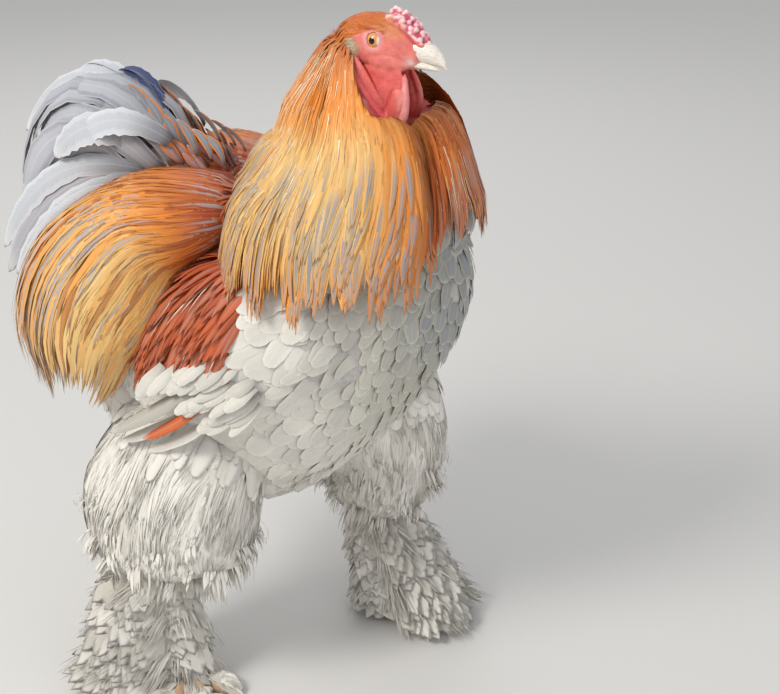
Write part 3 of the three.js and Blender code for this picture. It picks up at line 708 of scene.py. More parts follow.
# Materials
class Stuff:  # a material, with short ways to add nodes to it
    def __init__(self, name, **sockets):
        self.stuff = bpy.data.materials.new(name)
        self.stuff.use_nodes = True
        self.shader = self.stuff.node_tree.nodes["Principled BSDF"]
        self.feed(self.shader, {key.replace("_", " "): value for key, value in sockets.items()})

    def feed(self, made, inputs):
        for key, value in inputs.items():
            if isinstance(value, bpy.types.NodeSocket):
                self.stuff.node_tree.links.new(value, made.inputs[key])
            else:
                made.inputs[key].default_value = value

    def node(self, kind, inputs, **settings):
        made = self.stuff.node_tree.nodes.new("ShaderNode" + kind)
        for key, value in settings.items():
            setattr(made, key, value)
        self.feed(made, inputs)
        return made

    def attribute(self, name, output="Color"):
        return self.node("Attribute", {}, attribute_name=name).outputs[output]

    def objectSpot(self):
        return self.node("TexCoord", {}).outputs["Object"]

    def calc(self, how, *values):
        return self.node("Math", dict(enumerate(values)), operation=how).outputs[0]

    def times(self, first, second):
        return self.calc("MULTIPLY", first, second)

    def vector(self, x, y, z=0.0):
        return self.node("CombineXYZ", {0: x, 1: y, 2: z}).outputs[0]

    def span(self, value, low, high, toLow=0.0, toHigh=1.0):
        given = {"Value": value, "From Min": low, "From Max": high, "To Min": toLow, "To Max": toHigh}
        return self.node("MapRange", given, interpolation_type="SMOOTHSTEP").outputs[0]

    def noise(self, spot, scale, detail, roughness=0.5):
        given = {"Vector": spot, "Scale": scale, "Detail": detail, "Roughness": roughness}
        return self.node("TexNoise", given).outputs["Fac"]

    def mix(self, share, first, second, how="MIX"):
        first, second = (
            value if isinstance(value, bpy.types.NodeSocket) else (*value, 1) for value in (first, second)
        )
        given = {"Factor": share, 6: first, 7: second}
        return self.node("Mix", given, data_type="RGBA", blend_type=how).outputs[2]

    def finish(self, colour, height, strength, distance):  # links the colour and a bump, and gives the bump
        bump = self.node("Bump", {"Height": height, "Strength": strength, "Distance": distance})
        self.feed(self.shader, {"Base Color": colour, "Normal": bump.outputs[0]})
        return bump


def featherStuff(name, look):
    paint = Stuff(
        name, Roughness=look["roughness"], Specular_IOR_Level=look["gloss"], Sheen_Weight=look["sheen"],
        Sheen_Roughness=0.4,
    )
    share, luck = paint.attribute("share", "Fac"), paint.attribute("luck", "Fac")
    grain = paint.node("SeparateXYZ", {0: paint.node("UVMap", {}, uv_map="grain").outputs[0]})
    across = paint.calc("ABSOLUTE", grain.outputs[0])
    barb = paint.calc("SUBTRACT", grain.outputs[1], paint.times(across, look["slant"]))
    spot = paint.vector(barb, paint.times(across, 0.35), paint.times(luck, 90.0))
    streak = paint.noise(spot, look["barbs"], 3.0, 0.65)
    wave = paint.calc("SUBTRACT", streak, 0.5)
    edge = paint.calc("ADD", across, paint.times(wave, 0.5))
    middle = paint.span(edge, look["heartWide"] + 0.12, look["heartWide"] - 0.12)
    middle = paint.times(middle, paint.attribute("heart", "Alpha"))
    colour = paint.mix(middle, paint.attribute("tint"), paint.attribute("heart"))
    light = paint.span(luck, 0, 1, 1 - look["vary"], 1 + look["vary"])
    light = paint.calc("ADD", light, paint.times(wave, look["streaks"]))
    # painted shade: each feather darker towards its root, partly its own darker down and partly the shade of
    # the feathers that overlap it
    light = paint.times(light, paint.span(share, 0.0, 0.5, look["rootShade"], 1.0))
    colour = paint.mix(1.0, colour, paint.vector(light, light, light), "MULTIPLY")
    colour = paint.mix(paint.span(across, 0.11, 0.03, 0.0, look["shaft"]), colour, look["shaftTone"])
    rim = paint.times(paint.span(paint.calc("MAXIMUM", across, share), 0.86, 1.0), look["rim"])
    colour = paint.mix(rim, colour, look["rimTone"])
    height = paint.calc("ADD", streak, paint.span(across, 0.12, 0.0, 0.0, 0.6))
    bump = paint.finish(colour, height, look["bump"], 0.0006)
    # a feather is lit by the way it lies on the body as well as by its own small faces
    lie = paint.node(
        "VectorTransform", {0: paint.attribute("lie", "Vector")}, vector_type="NORMAL", convert_from="OBJECT",
        convert_to="WORLD",
    ).outputs[0]
    own = paint.node("NewGeometry", {}).outputs["Normal"]
    same = paint.node("VectorMath", {0: own, 1: lie}, operation="DOT_PRODUCT").outputs["Value"]
    share = paint.span(same, *look["fade"], 0.0, look["soft"])
    both = paint.node("Mix", {"Factor": share, 4: own, 5: lie}, data_type="VECTOR").outputs[1]
    paint.feed(bump, {"Normal": paint.node("VectorMath", {0: both}, operation="NORMALIZE").outputs[0]})
    return paint.stuff


goldLook = {
    "roughness": 0.5, "gloss": 0.3, "sheen": 0.0, "slant": 0.9, "barbs": 5.0, "heartWide": 0.52,
    "vary": 0.07, "streaks": 0.22, "rootShade": 0.86, "shaft": 0.18, "shaftTone": tone("f5dfb4"),
    "rim": 0.0, "rimTone": tone("f0a850"), "bump": 0.25, "soft": 0.7, "fade": (-0.1, 0.3),
}
greyLook = {
    "roughness": 0.65, "gloss": 0.25, "sheen": 0.1, "slant": 0.9, "barbs": 4.0, "heartWide": 0.62,
    "vary": 0.05, "streaks": 0.14, "rootShade": 0.78, "shaft": 0.12, "shaftTone": tone("f2efe9"),
    "rim": 0.32, "rimTone": tone("f6f3ee"), "bump": 0.3, "soft": 0.25, "fade": (-0.1, 0.3),
}
downLook = dict(
    greyLook, roughness=0.85, gloss=0.15, sheen=0.2, barbs=9.0, shaft=0.0, rim=0.2, streaks=0.2,
    rootShade=0.95, bump=0.1, soft=0.9, fade=(-0.25, 0.15),
)
goldStuff = featherStuff("hackle gold", goldLook)
greyStuff = featherStuff("lavender feather", greyLook)
downStuff = featherStuff("lavender down", downLook)


def skinStuff():
    paint = Stuff(
        "skin", Roughness=0.42, Specular_IOR_Level=0.45, Subsurface_Weight=0.12, Subsurface_Scale=0.004,
        Subsurface_Radius=(1.0, 0.35, 0.2),
    )
    spot = paint.objectSpot()
    pores = paint.noise(spot, 900.0, 4.0, 0.6)
    warts = paint.node("TexVoronoi", {"Vector": spot, "Scale": 620.0}).outputs["Distance"]
    patches = paint.noise(spot, 160.0, 3.0)
    colour = paint.mix(paint.span(pores, 0.42, 0.66, 0.0, 0.14), paint.attribute("tint"), tone("f6c8c0"))
    shade = paint.span(patches, 0.3, 0.7, 0.92, 1.06)
    colour = paint.mix(1.0, colour, paint.vector(shade, paint.times(shade, shade), shade), "MULTIPLY")
    paint.finish(colour, paint.calc("ADD", pores, paint.times(warts, -0.8)), 0.35, 0.0006)
    return paint.stuff


def convexity(piece):  # above zero on ridges and bumps, below zero in creases, in millimetres
    copy = piece.copy()
    copy.data = piece.data.copy()
    relax(copy, 5)
    out = ((vertsOf(piece) - vertsOf(copy)) * vertsOf(piece, "normal")).sum(1) / mm
    old = copy.data
    bpy.data.objects.remove(copy)
    bpy.data.meshes.remove(old)
    return out


def tonesOf(**texts):
    return {name: tone(text) for name, text in texts.items()}


def layTones(tones, base, *layers):  # each layer is a tone, or its name, and how strongly it covers
    colour = tones[base]
    for cover, share in layers:
        colour = blendTones(colour, tones[cover] if isinstance(cover, str) else cover, share)
    return colour


# the tones for creases, for the comb's hollows and for the throat are painted shade; those for the wattles'
# rims and the lobes' upper edges are painted highlights, and pea is partly one
fleshTones = tonesOf(
    face="e4766c", faceWarm="d98552", lid="f0a6a4", crease="b23a3c", comb="e58d9b", pea="f4d5d6",
    combCrease="cc4a64", wattle="e2625a", wattleRim="f6b4ae", lobe="e4585c", lobeLight="f6d6d2",
    gape="f6dcd0", throat="8d5136", gold="c07f40", grey="c6c3bd", toe="d9b795", ear="b08a6a",
)


def hump(value, middle, width):  # one at the middle, falling to nothing on both sides
    return np.exp(-(((value - middle) / width) ** 2))


def paintSkin(piece):
    spots = spotsOf(piece)
    x, y, z = fromHead(spots).T
    bump = np.clip(convexity(piece) / 0.12, -1, 1)
    fromEye = np.hypot(x - headShape["eyeAt"][0], z - headShape["eyeAt"][2])
    low = ease(-20, -30, z)
    gape = hump(x, 36, 5) * hump(z + 0.2 * (x - 36), -17, 5)
    besideLobe = hump(x, 17 + 0.25 * (z + 60), 2.4) * ease(-36, -44, z) * ease(-74, -66, z)
    lobeLine = x - np.interp(-z, [13, 27, 44, 59, 69], [-25.5, -17, -5, 8, 19])
    lobe = ease(8, 3, np.abs(lobeLine)) * ease(-9, -15, z) * ease(15.5, 18.5, np.abs(y))
    along = np.clip((x - 9) / 35, 0, 1)
    comb = ease(0.5, 2.5, z - (15.5 - 17 * along**1.6)) * ease(5, 9, x) * ease(12, 9.5, np.abs(y))
    # the comb's knobs are paler pink on top, partly their own tone and partly a painted highlight, and darker
    # in the hollows between them: painted shade
    ridge, crease = ease(0.05, 0.8, bump), ease(0.05, -0.5, bump)
    knobs = layTones(fleshTones, "comb", ("pea", ridge), ("combCrease", crease))
    # below the head the skin has the tones of the coat that covers it
    golden = ease(500, 525, spots[:, 2]) * ease(-40, -10, spots[:, 0])
    covered = layTones(fleshTones, "grey", ("gold", golden), ("toe", ease(34, 22, spots[:, 2])))
    away = np.maximum(ease(88, 96, np.hypot(np.hypot(x, y), z)), ease(-26, -40, x) * ease(10, 24, -z))
    away = np.maximum(away, (np.abs(y) < 12) * ease(-34, -44, z) * ease(16, 4, x))
    # painted shade: dark brown behind and under the wattles, where the gap below the head lies in shadow
    cleft = ease(0, -6, x + 20 + (z + 40) * 0.2) * low
    colour = layTones(
        fleshTones, "face",
        ("faceWarm", ease(3, 12, z + 0.25 * x) * ease(34, 16, x)),
        ("lid", 0.7 * ease(12, 8, fromEye)),
        ("ear", ease(11, 6, np.hypot(x + 19, z + 9))),
        ("wattle", low),
        ("gape", 0.75 * gape),
        # painted shade in the crease between the lobe and the cheek
        ("crease", 0.75 * besideLobe),
        # painted highlight along the front rim of the wattles
        ("wattleRim", 0.5 * ease(28, 35, x) * low),
        ("lobe", lobe),
        # painted highlight along the upper edge of the lobe
        ("lobeLight", 0.85 * lobe * ease(1, -2.5, lobeLine) * ease(-66, -50, z)),
        (knobs, comb),
        # painted shade in every hollow of the skin, found by its convexity
        ("crease", 0.7 * ease(-0.15, -1, bump) * (1 - comb)),
        (covered, away),
        ("throat", 0.4 * cleft * (1 - away)),
    )
    paintTones(piece.data, "tint", colour)


fleshNodes = ["head", "comb", "neck", "torso", "tail"]
pairedNodes = ("wattle", "earlobe", "wing", "saddle", "thigh", "shank", "foot")
fleshNodes += [part + "_" + word for part in pairedNodes for word in sides]
paintSkin(skin)
finishPiece(skin, skinStuff(), "face", *fleshNodes)
print("Skin painted")


# Beak and claws
def hornStuff():
    paint = Stuff("horn", Roughness=0.33, Specular_IOR_Level=0.5, Coat_Weight=0.15)
    spot = paint.objectSpot()
    stretched = paint.node("Mapping", {"Vector": spot, "Scale": (120.0, 900.0, 900.0)}).outputs[0]
    grain = paint.noise(stretched, 1.0, 4.0)
    blots = paint.noise(spot, 220.0, 2.0)
    colour = paint.mix(paint.span(grain, 0.35, 0.7), tone("f4f1ea"), tone("e4dac6"))
    colour = paint.mix(paint.span(blots, 0.56, 0.72, 0, 0.3), colour, tone("d9b9a0"))
    paint.finish(colour, grain, 0.25, 0.0003)
    return paint.stuff


horn = hornStuff()
beakShape = {
    "upper": [
        [20, 0, -8, 12, 8], [34, 0, -6.5, 10.6, 10.2], [47, 0, -8, 8, 9.4], [58, 0, -13, 4.6, 6.2],
        [66, 0, -20.5, 1.3, 1.7],
    ],
    "lower": [[22, 0, -18, 10.4, 4], [38, 0, -18.8, 8, 4], [50, 0, -20, 4.8, 3], [59, 0, -21.6, 2, 1.4]],
    "ridge": 0.9, "nostrilAt": (37, 8.6, -6.5), "nostril": (3.6, 2.2, 1.1),
}


def buildBeak():
    bm = bmesh.new()
    loft(bm, Form(beakShape["upper"], (0.1, 0.25)), 32, 40, onHead)
    upper = makeObject("beak_top", bm)
    own = fromHead(spotsOf(upper))
    ridge = hump(own[:, 1], 0, 2.2) * ease(28, 40, own[:, 0]) * ease(66, 54, own[:, 0])
    above = vertsOf(upper, "normal")[:, 2] > 0.2
    own[:, 2] += np.where(above, beakShape["ridge"] * ridge, 0)
    upper.data.vertices.foreach_set("co", place(onHead(own)).ravel())
    x, y, z = beakShape["nostrilAt"]
    for side in (-1, 1):
        nostril = bmesh.new()
        ball(nostril, (x, side * y, z), beakShape["nostril"], (0, 14, 0), onHead)
        combine(upper, makeObject("nostril", nostril), "DIFFERENCE")
    finishPiece(upper, horn, "horn", "beak_upper")
    bm = bmesh.new()
    loft(bm, Form(beakShape["lower"], (0.1, 0.25)), 28, 30, onHead)
    finishPiece(makeObject("beak_under", bm), horn, "horn", "beak_lower")


def buildClaws():
    for word in sides:
        for toe in toes:
            bm = bmesh.new()
            claw = Form(toeKeys(word, toe, True), (0.1, 0.2))
            floor = [-np.inf, -np.inf, 0.05]  # none of it under the floor
            loft(bm, claw, 16, 18, lambda points: np.maximum(points, floor))
            name = "claw_" + toe
            finishPiece(makeObject(name + "_of_" + word, bm), horn, "horn", name + "_" + word)


irisLook = {  # tones, and how far out each ends, in millimetres
    "dark": tone("d98a3c"), "light": tone("f2b066"), "inner": tone("b06c34"), "outer": tone("d9a67c"),
    "front": tone("f3e8e0"), "pupil": tone("040303"), "pupilEdge": (3.0, 2.7), "innerEdge": (3.1, 2.6),
    "outerEdge": (5.0, 6.0), "frontEdge": (4.0, 5.0),
}


def eyeStuff():
    paint = Stuff("eye", Roughness=0.2, Specular_IOR_Level=0.3, Coat_Weight=0.45, Coat_Roughness=0.03)
    spot = paint.node("UVMap", {}, uv_map="iris").outputs[0]
    away = paint.node("VectorMath", {0: spot}, operation="LENGTH").outputs["Value"]
    turn = paint.node("TexGradient", {"Vector": spot}, gradient_type="RADIAL").outputs["Fac"]
    rays = paint.noise(paint.vector(paint.times(turn, 60.0), paint.times(away, 3.0)), 1.2, 3.0)
    ahead = paint.node("SeparateXYZ", {0: spot}).outputs[0]
    iris = paint.mix(paint.span(rays, 0.35, 0.65), irisLook["dark"], irisLook["light"])
    for name, far in (("inner", away), ("outer", away), ("front", ahead), ("pupil", away)):
        iris = paint.mix(paint.span(far, *irisLook[name + "Edge"]), iris, irisLook[name])
    paint.feed(paint.shader, {"Base Color": iris})
    return paint.stuff


def buildEyes():
    stuff = eyeStuff()
    x, y, z = headShape["eyeAt"]
    for word, side in sides.items():
        bm = bmesh.new()
        made = bmesh.ops.create_icosphere(bm, subdivisions=5, radius=headShape["eyeRadius"])["verts"]
        own = np.array([v.co for v in made])
        cornea = 0.5 * np.exp(-(own[:, 0] ** 2 + own[:, 2] ** 2) / 9) * (own[:, 1] * side > 0)
        own[:, 1] += side * cornea
        flatMap = bm.loops.layers.uv.new("iris")
        index = {v: i for i, v in enumerate(made)}
        for face in bm.faces:
            for loop in face.loops:
                loop[flatMap].uv = own[index[loop.vert]][[0, 2]]
        setSpots(made, onHead(own + np.array([x, side * y, z])))
        finishPiece(makeObject("eyeball_" + word, bm), stuff, "iris", "eye_" + word)


buildBeak()
buildClaws()
buildEyes()
print("Beak, claws and eyes made")


# The coat. Tones are the photo's, blended along each feather and over the body.
shades = tonesOf(
    rust="c66a36", orange="ea8c30", deepOrange="d8662a", gold="e6ba72", paleGold="efcf92", mauve="a09794",
    slate="868a92", cream="f8f0de", saddleTop="a5462c", bow="b84a24", bowLight="d8703c", white="eae6dd",
    grey="d8d4cb", midGrey="bfbbb2", olive="a6a48f", cool="cfd2d8", lilac="b3b1b8", navy="42507a",
    tailShade="989ca6", down="f1ede5", downShade="cdc8be", tan="b59674", rustShade="9a4a26", brown="7d5233",
    shade="96948c", coolShade="979ba4",
)
up = np.array([0, 0, 1])


def heartOf(cover, strength):  # the tone of a feather's middle, with how strongly it shows
    strength = np.asarray(strength, float)
    rows = np.broadcast_to(shades[cover] if isinstance(cover, str) else cover, strength.shape + (3,))
    return np.concatenate([rows, strength[..., None]], -1)


def noHeart(count):
    return heartOf("grey", np.zeros(count))


def downTone(shadow):
    return layTones(shades, "down", ("downShade", shadow))


def bodyHome(points):  # the skin unrolled about a line from breast to tail
    turn = np.arctan2(points[:, 2] - 380, points[:, 1]) / (2 * math.pi) + 0.5
    return np.column_stack([turn, (points[:, 0] + 250) / 490])


def roundHome(angle, along, shift=0.0, wide=1.0):  # a form unrolled about its own axis
    return np.column_stack([(angle / (2 * math.pi)) % 1.0 * wide + shift, np.clip(along, 0, 1)])


def inThroat(points):  # above zero in the gap under the head, rising to one at its middle
    turn = np.array(Euler((0, math.radians(throat["tilt"]), 0)).to_matrix())
    own = (fromHead(points) - np.array(throat["at"])) @ turn / np.array(throat["radii"])
    return 1 - np.linalg.norm(own, axis=-1)


def insideBox(points, margin=3.0):  # the coat stays within the reach that the part was measured at
    low = (np.array(cadBox[0]) - birdOrigin) / mm + margin
    high = (np.array(cadBox[1]) - birdOrigin) / mm - margin
    return np.clip(points, low, high)


# Neck hackle: fine strands below, laced feathers over them at the hem, and some pale cream strands that are
# painted highlights glinting on the neck.
hackle = {
    "fold": 11.0, "foldAt": 131, "fill": 11.0, "flare": 20.0, "lockDeep": 0.15, "fullest": 262, "low": 0.88,
    "vane": {"thick": 0.18, "ragged": 0.04}, "seed": 11,
    "layers": {  # reach: length at the top, how it grows down the neck, least and most share of it
        "coat_hackle": {
            "count": 3400, "corners": 4, "half": 3.0, "outline": "strand", "from": 0.08, "under": 0.03,
            "reach": (0.14, 0.4, 0.8, 1.1), "gathered": 0.35, "lift": (0.1, 0.7), "laced": False,
        },
        "coat_hackle_laced": {
            "count": 980, "corners": 6, "half": 4.8, "outline": "lens", "from": 0.56, "under": 0,
            "reach": (1, 0, 0.2, 0.29), "gathered": 1.0, "lift": (0.8, 2.6), "laced": True,
        },
    },
    "glints": 230, "glintHalf": (0.3, 0.65), "glintVane": {"thick": 0.25, "camber": 0.05, "ragged": 0.0},
}


def onShoulder(angle):  # one where the hackle spreads over the wings
    return hump(np.sin(angle), -0.55, 0.3)


def hackleHem(angle):  # lowest at the sides, higher over the breast and the back
    ahead = np.sin(angle)
    before = 0.04 * ahead**2 + 0.2 * ease(0.72, 0.95, ahead)
    return hackle["low"] - np.where(ahead > 0, before, 0.33 * ahead**2 - 0.1 * onShoulder(angle))


def throatRim():  # where on the hackle the gap under the head ends
    angles, steps = np.linspace(0, 2 * math.pi, 181), np.linspace(0, 1, 141)
    inside = inThroat(forms["hackle"].surface(steps[None], angles[:, None])) > 0
    last = np.where(inside.any(1), steps[len(steps) - 1 - inside[:, ::-1].argmax(1)], 0.0)
    return lambda angle: np.interp(angle % (2 * math.pi), angles, last)


def fromCleft(angle):  # degrees behind the cleft that parts the side locks from those of the breast
    return 180 - hackle["foldAt"] - np.degrees(np.arcsin(np.clip(np.sin(angle), -1, 1)))


def hackleRise(angle, along, rim):  # the side locks lie over those of the breast, and the neck is full behind
    behind = fromCleft(angle)
    high = hump(behind, 9, 8) - 1.1 * hump(behind, -6, 6)
    full = ease(-0.15, -0.6, np.sin(angle)) * ease(0.02, 0.28, along) * ease(0.52, 0.28, along)
    fold = hackle["fold"] * high * ease(0.9, 0.6, along) * (rim > 0.05)
    return fold + hackle["fill"] * full + hackle["flare"] * onShoulder(angle) * ease(0.5, 0.82, along)


def hackleSpines(blank, root, tip, angle, drift, sunk, lift, rim):
    spines = laidSpines(blank, forms["hackle"], root, tip, angle, drift, sunk, lift)
    high = hackleRise(angle[:, None], spines["along"], rim[:, None])
    spines["at"] = spines["at"] + spines["out"] * high[..., None]
    return spines


def makeLocks(rng):  # a hem gathers in pointed locks, some of them long
    middles = np.cumsum(rng.uniform(9, 17, 40))
    middles = np.radians(middles[middles < 350])
    reach = rng.uniform(0.1, 1, len(middles))

    def gather(angle):
        away = (angle[:, None] - middles[None] + math.pi) % (2 * math.pi) - math.pi
        mine = np.abs(away).argmin(1)
        return away[np.arange(len(angle)), mine], reach[mine]

    return gather


def hackleTones(angle, spines, rim, rng, laced):
    q, along, one = spines["blank"]["q"], spines["along"], (len(angle), 1)
    behind, rim = fromCleft(angle)[:, None], rim[:, None]
    front = ease(14, -8, behind)
    deep = front * rng.uniform(0.6, 1, one)
    bright = front * (rng.random(one) < 0.2) * ease(0.1, 0.3, along)
    warm = rng.uniform(-0.35, 0.35, one)
    dark = (rng.random(one) < 0.12 + 0.2 * front) * rng.uniform(0.3, 0.8, one) * ease(0.8, 0.6, along)
    # painted shadow: brown in the cleft that parts the side locks from those of the breast, and under the rim
    # of the gap below the head
    shadow = hump(behind, -5, 6) * ease(0.75, 0.5, along)
    shadow = np.maximum(shadow, 0.8 * ease(0.09, 0.0, along - rim) * ease(20, 0, behind) * (rim > 0.05))
    colour = layTones(
        shades, "rust",
        ("orange", ease(0.05, 0.25, along)),
        ("gold", ease(0.24, 0.46, along) * (1 - 0.9 * front) * ease(0, 34, behind)),
        ("deepOrange", deep),
        ("orange", 0.9 * bright),
        ("orange", 0.85 * ease(0.68, 0.88, along)),
        ("orange", np.clip(warm, 0, 1) * (1 - front)),
        ("paleGold", np.clip(-warm, 0, 1) * (1 - 0.6 * front)),
        ("rustShade", dark * (0.3 + 0.5 * front)),
        ("brown", 0.7 * shadow),
    )
    if laced:
        strength = ease(0.3, 0.55, q) * ease(0.99, 0.88, q) * (rng.random(one) < 0.95)
        low = along / hackleHem(angle)[:, None] + 0.12 * ease(40, 10, behind)
        strength = strength * ease(0.46, 0.64, low)
    else:
        strength = ease(0.5, 0.7, along) * (rng.random(one) < 0.1)
    strength = strength * rng.uniform(0.6, 1, one) * (1 - 0.4 * front)
    return colour, heartOf(layTones(shades, "mauve", ("slate", rng.random(one))), strength)


def plantHackle(coat, layer, rimOf, gather):
    rng, count, hem = coat.rng, layer["count"], hackle["low"]
    angle = rng.uniform(0, 2 * math.pi, 6 * count)
    tip = layer["from"] + (hem - layer["from"]) * rng.random(len(angle)) ** 0.6
    row = forms["hackle"].rowAt(tip)
    keep = rng.random(len(angle)) < (row[:, 3] + row[:, 4]) / hackle["fullest"]
    keep = keep & (tip < hackleHem(angle) - layer["under"]) & (tip > rimOf(angle) + 0.07)
    angle, tip = angle[keep][:count], tip[keep][:count]
    rim, (away, longer), count = rimOf(angle), gather(angle), len(tip)
    least, more, low, high = layer["reach"]
    root = np.maximum(tip - (least + more * tip) * rng.uniform(low, high, count), rim - 0.015)
    pull = ease(0.5, 0.85, tip / hackleHem(angle)) * layer["gathered"]
    tip = tip + pull * hackle["lockDeep"] * (0.1 + 0.9 * longer) * (0.8 - np.abs(away) / 0.12)
    drift = -away * 0.65 * pull + rng.normal(0, 0.03, count)
    lift = rng.uniform(*layer["lift"], count)
    spines = hackleSpines(featherBlank(8, layer["corners"]), root, tip, angle, drift, 6, lift, rim)
    colour, heart = hackleTones(angle, spines, rim, rng, layer["laced"])
    half = layer["half"] * rng.uniform(0.75, 1.2, count) * (0.55 + 0.45 * ease(0.1, 0.5, tip))
    coat.plant(spines, half, layer["outline"], colour, roundHome(angle, root), heart, **hackle["vane"])


def plantGlints(coat, rimOf):  # painted highlights: cream strands, most of them on the neck behind
    rng, count = coat.rng, hackle["glints"]
    behind = rng.random(count) < 0.62
    angle = np.radians(np.where(behind, rng.normal(214, 18, count), rng.normal(108, 13, count)))
    root = rng.uniform(0.04, 0.52, count)
    wanted = root > rimOf(angle) + 0.02
    angle, root, count = angle[wanted], root[wanted], int(wanted.sum())
    tip = root + rng.uniform(0.08, 0.22, count)
    drift, lift = rng.normal(0, 0.03, count), 1.6 + 1.0 * rng.random(count)
    spines = hackleSpines(featherBlank(8, 4), root, tip, angle, drift, 3, lift, rimOf(angle))
    colour = layTones(shades, "paleGold", ("cream", rng.uniform(0.3, 1, count)))
    half = rng.uniform(*hackle["glintHalf"], count)
    coat.plant(spines, half, "wisp", colour, roundHome(angle, root), **hackle["glintVane"])


def buildHackle():
    rng = np.random.default_rng(hackle["seed"])
    rimOf, gather = throatRim(), makeLocks(rng)
    coats = {name: Coat(name, rng) for name in hackle["layers"]}
    for name, coat in coats.items():
        plantHackle(coat, hackle["layers"][name], rimOf, gather)
    plantGlints(coats["coat_hackle"], rimOf)
    for coat in coats.values():
        coat.build(goldStuff, "hackle")


# Saddle hackle
saddle = {"feathers": 1500, "half": 3.8, "sunk": 7, "vane": {"thick": 0.3, "ragged": 0.04}, "seed": 12}


def saddleTones(angle, along, fan, rng):
    one, rear = (len(angle), 1), ease(-0.1, -0.9, np.sin(angle))[:, None]
    warm = rng.uniform(-0.45, 0.4, one)
    colour = layTones(
        shades, "saddleTop",
        ("orange", ease(0.12, 0.42, along)),
        ("gold", ease(0.28, 0.56, along) * (0.95 - 0.2 * rear)),
        ("orange", np.clip(warm * 1.4, 0, 1)),
        ("paleGold", np.clip(-warm * 1.3, 0, 1) * ease(0.25, 0.6, along)),
        ("rustShade", 0.6 * (rng.random(one) < 0.16)),
    )
    greyed = rng.random(one) < np.maximum(0.1 + 0.2 * rear, 0.6 * (fan[:, None] > 0))
    greyed = greyed * ease(0.25, 0.5, along)
    greyed = np.maximum(greyed, (rng.random(one) < 0.3) * ease(0.3, 0.12, along) * 0.8)
    strength = np.maximum(greyed, ease(0.8, 1.05, along) * 0.25)
    return colour, heartOf(layTones(shades, "lilac", ("mauve", rng.random(one))), strength)


def buildSaddle():
    rng = np.random.default_rng(saddle["seed"])
    gather = makeLocks(rng)
    coat, blank, count = Coat("coat_saddle", rng), featherBlank(8, 4), saddle["feathers"]
    for word, side in sides.items():
        angle = np.radians(rng.uniform(-165, 92, count))
        hanging = rng.random(count) < 0.4
        tip = np.where(hanging, rng.uniform(0.78, 1.12, count), rng.uniform(0.3, 0.95, count))
        tip = tip - 0.03 * np.cos(2 * angle)
        root = np.maximum(tip - rng.uniform(0.38, 0.52, count), 0.02)
        fan = ease(0.1, -0.8, np.sin(angle)) * ease(0.6, 0.9, tip) * (rng.random(count) < 0.5)
        lift = rng.uniform(0.2, 2.0, count) + fan * rng.uniform(3, 13, count)
        lift = lift + 5 * ease(0.95, 1.1, tip) * rng.random(count)
        away, longer = gather(angle)
        tip = tip + ease(0.6, 1, tip) * (0.1 * longer - 0.05)
        drift = rng.normal(0, 0.07, count) - 0.6 * away * ease(0.4, 0.9, tip)
        spines = laidSpines(blank, forms["saddle " + word], root, tip, angle, drift, saddle["sunk"], lift)
        colour, heart = saddleTones(angle, spines["along"], fan, rng)
        home = roundHome(angle, root, 0.5 if side > 0 else 0.0, 0.48)
        half = saddle["half"] * rng.uniform(0.75, 1.25, count)
        wanted = spines["at"][:, -1, 1] * side > -4  # none that cross to the other side
        spines = {"blank": blank, "at": spines["at"][wanted], "out": spines["out"][wanted]}
        half, colour, home, heart = (rows[wanted] for rows in (half, colour, home, heart))
        coat.plant(spines, half, "strand", colour, home, heart, **saddle["vane"])
    coat.build(goldStuff, "saddle")


# Tail. Each long feather runs from its root past a bend to its tip, given on the left and mirrored.
tailLook = {
    "seed": 13, "vane": {"thick": 0.8, "camber": 0.2},
    "tiers": [  # count, first and last degree, root, tip, half width: the layers that fill the fan
        (9, 168, 372, 0.28, 0.96, 16), (8, 172, 368, 0.14, 0.78, 16), (8, 168, 372, 0.04, 0.56, 15),
        (7, 20, 160, 0.2, 0.82, 14), (7, 20, 160, 0.05, 0.56, 13),
    ],
    "sickles": [  # root, bend, tip, half width, tone
        ((-112, 14, 570), (-196, 18, 656), (-252, 26, 556), 17, "cool"),
        ((-106, 4, 570), (-158, 2, 644), (-200, 8, 614), 14, "cool"),
        ((-112, 26, 560), (-172, 52, 640), (-222, 56, 520), 19, "cool"),
        ((-112, 34, 552), (-158, 66, 612), (-190, 70, 548), 18, "cool"),
        ((-84, 34, 566), (-136, 62, 612), (-170, 66, 560), 15, "cool"),
        ((-112, 40, 536), (-196, 80, 566), (-252, 80, 452), 14, "cool"),
        ((-112, 40, 532), (-194, 82, 548), (-244, 88, 430), 14, "lilac"),
        ((-112, 42, 528), (-184, 88, 532), (-230, 94, 432), 14, "cool"),
        ((-114, 30, 536), (-206, 52, 590), (-240, 58, 500), 16, "lilac"),
        ((-112, 44, 520), (-180, 92, 524), (-226, 98, 420), 14, "cool"),
        ((-116, 50, 500), (-168, 100, 498), (-204, 106, 396), 13, "lilac"),
        ((-116, 52, 470), (-160, 104, 470), (-190, 112, 380), 12, "cool"),
        # the two navy ones are painted shade: dark feathers for the shaded undersides of the far sickles
        ((-98, -2, 566), (-128, -4, 632), (-156, 0, 618), 9, "navy"),
        ((-96, 8, 562), (-118, 6, 620), (-142, 8, 606), 8, "navy"),
    ],
    "coverts": 34, "covertVane": {"thick": 0.4, "camber": 0.12, "fray": 0.05},
    "laced": [  # root, tip, half width
        ((-104, 24, 574), (-139, 18, 613), 8), ((-92, 24, 562), (-123, 18, 604), 7.5),
        ((-80, 24, 553), (-106, 18, 588), 7), ((-62, 24, 552), (-86, 18, 583), 6.5),
        ((-46, 24, 550), (-70, 18, 575), 6), ((-34, 22, 546), (-58, 18, 570), 5.5),
    ],
    "lacedVane": {"thick": 0.5, "camber": 0.08, "ragged": 0.04, "fray": 0.04},
}


def mirrored(side, *spots):  # each point as a row of its own, on the given side
    return [np.array([spot], float) * [1, side, 1] for spot in spots]


